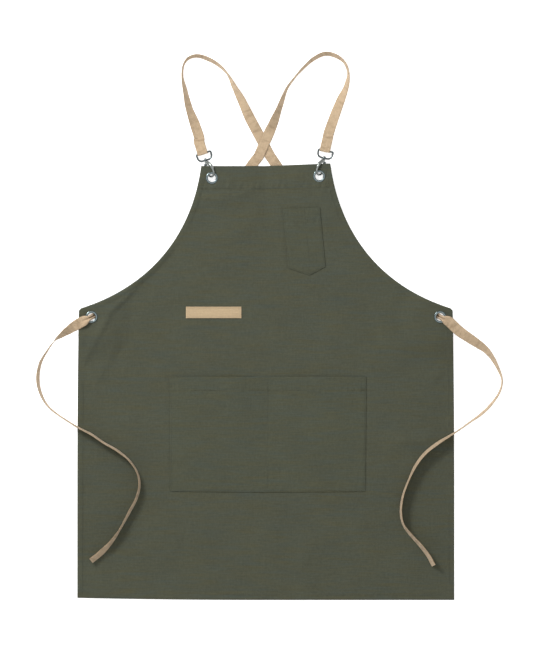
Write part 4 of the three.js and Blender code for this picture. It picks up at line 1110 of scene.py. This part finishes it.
def tapeRing(station, travel):
    centre, lateral, normal, gather = station
    look, width = strapLook, strap["width"]
    fold = gather * strap["gatherFold"]
    u = np.linspace(-1, 1, look["columns"]) * width / 2
    edge = width / 2 - abs(u)
    roundness = np.sqrt(np.clip(edge / look["selvedge"], 0, 1))
    thick = strap["thickness"] / 2 * np.clip(roundness, look["selvedgeLeast"], 1)
    aside = u * math.cos(fold)
    pleat = -np.cos(tau * (u + width / 2) / (width / 2)) * width / 4 * math.sin(fold) / 2
    slope = np.gradient(pleat, aside)
    away = np.stack([-slope, np.ones_like(slope)], -1)
    away /= np.linalg.norm(away, axis=1)[:, None]
    upper = np.stack([aside, pleat], -1) + away * thick[:, None]
    lower = np.stack([aside, pleat], -1) - away * thick[:, None]
    inside = np.clip(edge / 4, 0, 1) * (1 - gather)
    # The crinkles come in groups
    crease = look["crinkle"] * softNoise(travel + 0.35 * u, u * 0.3 + 40, look["crinkleSize"], 41)
    crease = crease * np.clip(0.55 + softNoise(np.full_like(u, travel), u * 0, look["groupSize"], 43), 0.2, 1.5)
    upper[:, 1] += np.clip(crease, -look["deepest"], look["highest"]) * inside
    lower[:, 1] += np.clip(crease, -look["highest"], look["deepest"]) * inside
    section = np.concatenate([upper, lower[::-1]])
    points = centre + section[:, :1] * lateral + section[:, 1:] * normal
    across = np.concatenate([u, u[::-1]]) + width / 2
    flow = np.stack([np.full_like(across, travel), across, np.zeros_like(across)], -1)
    return points, flow


def strapRoute(side, isOnTop):
    along, aside, swivel = claspPlace(side)
    barMiddle = swivel + along * clasp["depth"]
    barAt = barMiddle + aside * clasp["strapAside"][side]
    out = -side
    lying = strap["thickness"] / 2
    layer = strap["thickness"] + apron["clearance"]
    wrap = clasp["wire"] + apron["clearance"] + lying
    across = np.array([-along[1], along[0], 0])
    stations = []

    def underPoint(distance, z):
        return np.array([barAt[0] + along[0] * distance, barAt[1] + along[1] * distance, z])

    backEnd = max(claspHeight - wrap, lying)
    backCurve = [
        underPoint(strap["foldBack"], lying), underPoint(strap["foldBack"] / 2, lerp(backEnd, lying, 0.7)),
        underPoint(wrap, backEnd),
    ]
    for i in range(strapLook["backSteps"]):
        at, way = catmull(backCurve, i / strapLook["backSteps"])
        stations.append((at, across, np.cross(way, across), 0))
    for i in range(strapLook["wrapSteps"] + 1):
        angle = -math.pi / 2 - i / strapLook["wrapSteps"] * math.pi
        centre = underPoint(wrap * math.cos(angle), claspHeight + wrap * math.sin(angle))
        normal = np.array([along[0] * math.cos(angle), along[1] * math.cos(angle), math.sin(angle)])
        stations.append((centre, across, normal, 0))

    def level(distance, z):
        at = underPoint(distance, z)
        return (*at, 1.0, 0.0)

    topHeight = claspHeight + wrap - lying
    rows = [
        level(wrap, topHeight), level(strap["foldBack"] / 2, lerp(topHeight, layer, 0.6)),
        level(strap["foldBack"] + apron["clearance"], layer + apron["clearance"]),
    ]
    for share, rise, flat in loops[side]:
        x = barMiddle[0] + share * (crossing[0] - barMiddle[0])
        rows.append((x, barMiddle[1] + rise * strap["loopRise"], 0.0, flat, 0.0))
    start = crossing - np.array(rows[-1][:2])
    start /= np.linalg.norm(start)
    for distance in (-strap["crossingReach"], 0, strap["crossingReach"]):
        at = crossing + start * distance
        rows.append((*at, layer if isOnTop else 0.0, 1.0, 0.0))
    fixed = {len(rows) - 3, len(rows) - 2, len(rows) - 1}
    rows = letFall(rows, fixed)

    at = waistEyelets[out]
    climb = waistEyeletHeight - gatheredHalf
    heading = math.radians(eyelet["heading"])
    back = [rows[-1]] + [(*place, 0.0, 1.0, 0.0) for place in hiddenPoints(at)]
    for share, rise, gather in passage:
        x = at[0] + out * math.cos(heading) * share * eyeletRadius
        y = at[1] - math.sin(heading) * share * eyeletRadius
        z = 0.0 if rise is None else waistEyeletHeight + rise * climb - float(sectionHalf(1.0, gather))
        back.append((x, y, z, 1.0, gather))
    tie = ties[out]
    free = [back[-1]]
    for share, down, flat in tie["rows"]:
        x, y = at[0] + out * share * tie["reach"], at[1] - down * tie["drop"]
        free.append((x, y, supportAt(x, y), flat, 0.0))
    free = letFall(free, {0})
    for part in (rows, back, free):
        made = tapeStations(part, strapLook["steps"], out)
        stations += made if part is rows else made[1:]
    return stations


def makeStrap(name, side, isOnTop):
    travel = 0
    before = None
    rings, flows = [], []
    for station in strapRoute(side, isOnTop):
        if before is not None:
            travel += float(np.linalg.norm(station[0] - before))
        before = station[0]
        ring, flow = tapeRing(station, travel)
        rings.append(ring)
        flows.append(flow)
    points, faces = loft(rings)
    piece = makePiece(
        name + "_webbing", points, faces, webbing, flow=np.concatenate(flows), sharp=80,
    )
    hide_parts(name)
    print(name, "length", round(travel))


makeStrap("strap_left", -1, False)
makeStrap("strap_right", 1, True)


# Eyelets and clasps
print("stage: metal")


def latheRings(profile, sides):
    rings = []
    for k in range(sides):
        turn = k / sides * tau
        rings.append(np.array([[r * math.cos(turn), r * math.sin(turn), z] for r, z in profile]))
    return loft(rings, closed=True)


def eyeletProfile():
    inner = eyelet["hole"] / 2
    barrel = inner + eyelet["wall"]
    seat = apron["folded"] / 2 + apron["clearance"]
    crown = seat + eyelet["crown"]
    arc = []
    for i in range(9):
        turn = i / 8 * math.pi
        r = lerp(inner, eyeletRadius, (1 - math.cos(turn)) / 2)
        arc.append((r, seat + (crown - seat) * math.sin(turn)))
    half = [(inner, 0)] + arc + [(eyeletRadius - 0.1, seat - 0.25), (barrel + 0.3, seat - 0.25)]
    return half + [(r, -z) for r, z in half[:0:-1]]


def makeEyelet(name, at, height):
    points, faces = latheRings(eyeletProfile(), eyelet["sides"])
    points = points + np.array([at[0], at[1], height])
    piece = makePiece(name + "_metal", points, [face[::-1] for face in faces], eyeletMetal, sharp=60)
    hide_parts(name)


for side, sideName in ((-1, "left"), (1, "right")):
    makeEyelet("bib_eyelet_" + sideName, bibEyelets[side], bibEyeletHeight)
    makeEyelet("waist_eyelet_" + sideName, waistEyelets[side], waistEyeletHeight)


def wireParts(points, radius, normal, closed=False, sides=16):
    points = np.asarray(points, dtype=float)
    count = len(points)
    radii = np.broadcast_to(radius, count)
    rings = []
    for i in range(count):
        before = points[(i - 1) % count] if closed else points[max(i - 1, 0)]
        after = points[(i + 1) % count] if closed else points[min(i + 1, count - 1)]
        way = (after - before) / np.linalg.norm(after - before)
        across = np.cross(normal, way)
        turns = (np.arange(sides) + 0.5) / sides * tau
        rings.append(points[i] + radii[i] * (np.cos(turns)[:, None] * across + np.sin(turns)[:, None] * normal))
    return loft(rings, closed)


def rodParts(radius, low, high, sides=28, bevel=clasp["bevel"]):
    profile = [
        (0.001, low), (radius - bevel, low), (radius, low + bevel), (radius, high - bevel), (radius - bevel, high),
        (0.001, high),
    ]
    rings = []
    for r, at in profile:
        turns = np.arange(sides) / sides * tau
        rings.append(np.stack([r * np.cos(turns), np.full(sides, at), r * np.sin(turns)], -1))
    return loft(rings)


def roundedLoop():
    half, depth, corner, taper = clasp["halfWidth"], clasp["depth"], clasp["corner"], clasp["taper"]
    rounding = clasp["rounding"]
    corners = [
        ((half - corner, depth), (half, depth), (half, depth - corner)),
        ((half - taper / 2, rounding), (half - taper, 0), (half - rounding - taper, 0)),
    ]
    points = [(0.0, depth)]
    for start, middle, end in corners:
        for t in np.linspace(0, 1, 9):
            start, middle, end = map(np.array, (start, middle, end))
            points.append(tuple((1 - t) ** 2 * start + 2 * t * (1 - t) * middle + t * t * end))
    points.append((0.0, 0.0))
    mirrored = [(-x, y) for x, y in points[-2:0:-1]]
    return [np.array([x, y, 0.0]) for x, y in points + mirrored]


def gateOutline():
    c = clasp
    tipAlong = c["hookLength"] - c["bow"] - c["nose"] - apron["clearance"]
    tipAside = c["offset"] - c["bow"]
    half = c["gateWidth"] / 2
    outline = [
        (c["pivotAside"] + half + 0.6, c["pivotAlong"] - 1.4), (c["pivotAside"] + half + 0.5, c["pivotAlong"] + 2),
        (tipAside + half, tipAlong), (tipAside - half, tipAlong),
        (tipAside - half, 0.5 * (c["pivotAlong"] + tipAlong) + 1),
    ]
    teethFrom, teethTo = 0.5 * (c["pivotAlong"] + tipAlong), c["pivotAlong"] - 2
    for i in range(c["teeth"]):
        first = lerp(teethFrom, teethTo, i / c["teeth"])
        second = lerp(teethFrom, teethTo, (i + 0.6) / c["teeth"])
        outline.append((tipAside - half - c["thumb"] * 0.55, first - 0.3))
        outline.append((tipAside - half - c["thumb"], second))
    outline.append((c["pivotAside"] - half - 1.2, c["pivotAlong"] - 2.6))
    return outline


def prismParts(outline, thickness, bevel):
    mesh = bmesh.new()
    corners = [mesh.verts.new((x, y, -thickness / 2)) for x, y in outline]
    face = mesh.faces.new(corners)
    made = bmesh.ops.extrude_face_region(mesh, geom=[face])
    moved = [v for v in made["geom"] if isinstance(v, bmesh.types.BMVert)]
    bmesh.ops.translate(mesh, verts=moved, vec=(0, 0, thickness))
    bmesh.ops.bevel(mesh, geom=mesh.edges[:], offset=bevel, segments=2, affect="EDGES", clamp_overlap=True)
    bmesh.ops.recalc_face_normals(mesh, faces=mesh.faces[:])
    mesh.verts.index_update()
    parts = ([tuple(v.co) for v in mesh.verts], [tuple(v.index for v in f.verts) for f in mesh.faces])
    mesh.free()
    return parts


def toPlace(parts, matrix):
    points, faces = parts
    moved = [tuple(matrix @ Vector(point)) for point in points]
    return np.array(moved), faces


def hookWire(side):
    c = clasp
    across = -side
    centre = (c["offset"], c["hookLength"] - c["bow"])
    shoulder = c["bossLength"] / 2 + apron["clearance"] + c["collar"]
    spine = [(0, shoulder - c["overlap"]), (c["neckTurn"][0] * c["bow"], shoulder + c["neckTurn"][1] * c["wire"])]
    spine += [(centre[0] + aside * c["bow"], along * c["hookLength"]) for aside, along in c["neck"]]
    spine.append((centre[0] + c["bow"], centre[1]))
    spine = [np.array([across * x, -y, 0.0]) for x, y in spine]
    wire = [catmull(spine, t)[0] for t in np.linspace(0, 1, 40)]
    for angle in np.arange(1, 29) / 28 * math.pi:
        x, y = centre[0] + c["bow"] * math.cos(angle), centre[1] + c["bow"] * math.sin(angle)
        wire.append(np.array([across * x, -y, 0.0]))
    wire.append(np.array([across * (centre[0] - c["bow"]), -(centre[1] - c["nose"]), 0.0]))
    wire = np.array(wire)
    neckEnd = c["neck"][0][1] * c["hookLength"]
    thick = smoothstep(-wire[:, 1], shoulder - c["overlap"], neckEnd / 2)
    thick = thick * (1 - smoothstep(-wire[:, 1], neckEnd, c["neckFade"] * neckEnd))
    return wire, lerp(c["hookWire"], c["neckWire"], thick)


def makeClasp(side, sideName):
    c = clasp
    across = -side
    swivel = claspPlace(side)[2]
    base = Matrix.Translation((swivel[0], swivel[1], claspHeight)) @ Matrix.Rotation(-side * c["lean"][side], 4, "Z")
    turned = base @ Matrix.Rotation(side * c["tilt"], 4, "Y")
    up = np.array([0, 0, 1.0])
    halfBoss = c["bossLength"] / 2
    head, shoulder = halfBoss + apron["clearance"], halfBoss + apron["clearance"] + c["collar"]

    def placed(name, parts, matrix, material, body, sharp):
        points, faces = toPlace(parts, matrix)
        name = name + "_" + sideName + "_metal"
        return makePiece(name, points, faces, material, body=body, sharp=sharp)

    ring = wireParts(roundedLoop(), c["loopWire"], up, closed=True)
    loopParts = joinParts([ring, rodParts(c["boss"], -halfBoss, halfBoss)])
    loop = placed("strap_loop", loopParts, base, claspMetal, "apron", 50)
    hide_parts("strap_loop_" + sideName)

    turns = np.linspace(-math.pi, 0, 10)
    earX = across * c["pivotAside"] + c["earRadius"] * np.cos(turns)
    earY = -c["pivotAlong"] + c["earRadius"] * np.sin(turns)
    earEnd = [(c["earHalf"], -shoulder), (-c["earHalf"], -shoulder)]
    ear = prismParts([*zip(earX.tolist(), earY.tolist()), *earEnd], c["ear"], c["earBevel"])
    wire, radii = hookWire(side)
    hookParts = joinParts([
        wireParts(wire, radii, up), rodParts(c["post"], -shoulder, head + c["postReach"]),
        rodParts(c["rivet"], head, head + c["rivetHeight"], bevel=c["rivetBevel"]),
        rodParts(c["boss"], -shoulder, -shoulder + c["collar"]), ear,
    ])
    hook = placed("hook", hookParts, turned, hookMetal, sideName + "_hook", 50)
    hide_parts("hook_" + sideName)

    outline = [(across * x, -y) for x, y in gateOutline()]
    gateParts = prismParts(outline, c["gateThickness"], c["bevel"])
    gate = placed("gate", gateParts, turned, claspMetal, sideName + "_gate", 40)
    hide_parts("gate_" + sideName)


makeClasp(-1, "left")
makeClasp(1, "right")


# Floor, light, camera
print("stage: set")

stage = {
    "floor": 8.0, "floorDrop": 0.0005, "floorColour": 0.9, "floorGlow": 0.64, "sky": 2.2, "frameHeight": 666,
    "scale": 1.91, "middle": (266.5, 333), "origin": (265.8, 600), "cameraHeight": 2.5,
}

floorMesh = bpy.data.meshes.new("floor")
reach = stage["floor"] / 2
corners = [(-reach, -reach, 0), (reach, -reach, 0), (reach, reach, 0), (-reach, reach, 0)]
floorMesh.from_pydata(corners, [], [(0, 1, 2, 3)])
floor = bpy.data.objects.new("floor", floorMesh)
bpy.context.scene.collection.objects.link(floor)
floorMaterial = newMaterial("pale floor", {
    "Roughness": 0.9, "Base Color": (*[stage["floorColour"]] * 3, 1), "Specular IOR Level": 0.1,
    "Emission Color": (1, 1, 1, 1), "Emission Strength": stage["floorGlow"],
})[0]
floor.data.materials.append(floorMaterial)
floor.location.z = -stage["floorDrop"]


def addArea(name, place, aim, size, power):
    data = bpy.data.lights.new(name, "AREA")
    data.shape, data.size, data.energy = "DISK", size, power
    light = bpy.data.objects.new(name, data)
    light.location = place
    light.rotation_euler = (Vector(aim) - Vector(place)).to_track_quat("-Z", "Y").to_euler()
    bpy.context.scene.collection.objects.link(light)


addArea("key", (-1.9, 1.9, 2.6), (0, 0, 0), 1.1, 95)
addArea("fill", (1.6, -1.2, 2.8), (0, 0, 0), 2.4, 4)

world = bpy.data.worlds.new("studio")
world.use_nodes = True
skyTree = world.node_tree
skyWay = skyTree.nodes.new("ShaderNodeTexCoord")
skySplit = skyTree.nodes.new("ShaderNodeSeparateXYZ")
skyRamp = skyTree.nodes.new("ShaderNodeValToRGB")
skyTree.links.new(skyWay.outputs["Generated"], skySplit.inputs[0])
skyTree.links.new(skySplit.outputs["Z"], skyRamp.inputs["Fac"])
skyTree.links.new(skyRamp.outputs["Color"], skyTree.nodes["Background"].inputs["Color"])
skyTree.nodes["Background"].inputs["Strength"].default_value = stage["sky"]
# Height of the sky from level to overhead, and how bright it is there
skyStops = [(0, 0.34), (0.35, 0.30), (0.6, 0.27), (0.8, 0.24), (0.95, 0.24), (0.985, 1.0)]
stops = skyRamp.color_ramp.elements
while len(stops) < len(skyStops):
    stops.new(0.5)
for stop, (height, glow) in zip(stops, skyStops):
    stop.position, stop.color = height, (glow, glow, glow, 1)
bpy.context.scene.world = world
bpy.context.scene.view_settings.view_transform = "Standard"

camera = bpy.data.cameras.new("camera")
camera.type = "ORTHO"
camera.ortho_scale = stage["frameHeight"] * stage["scale"] * mm
middleX = (stage["middle"][0] - stage["origin"][0]) * stage["scale"] + shift[0]
middleY = (stage["origin"][1] - stage["middle"][1]) * stage["scale"] + shift[1]
cameraPiece = bpy.data.objects.new("camera", camera)
cameraPiece.location = (middleX * mm, middleY * mm, stage["cameraHeight"])
camera.clip_start, camera.clip_end = 0.1, 20
bpy.context.scene.collection.objects.link(cameraPiece)
bpy.context.scene.camera = cameraPiece
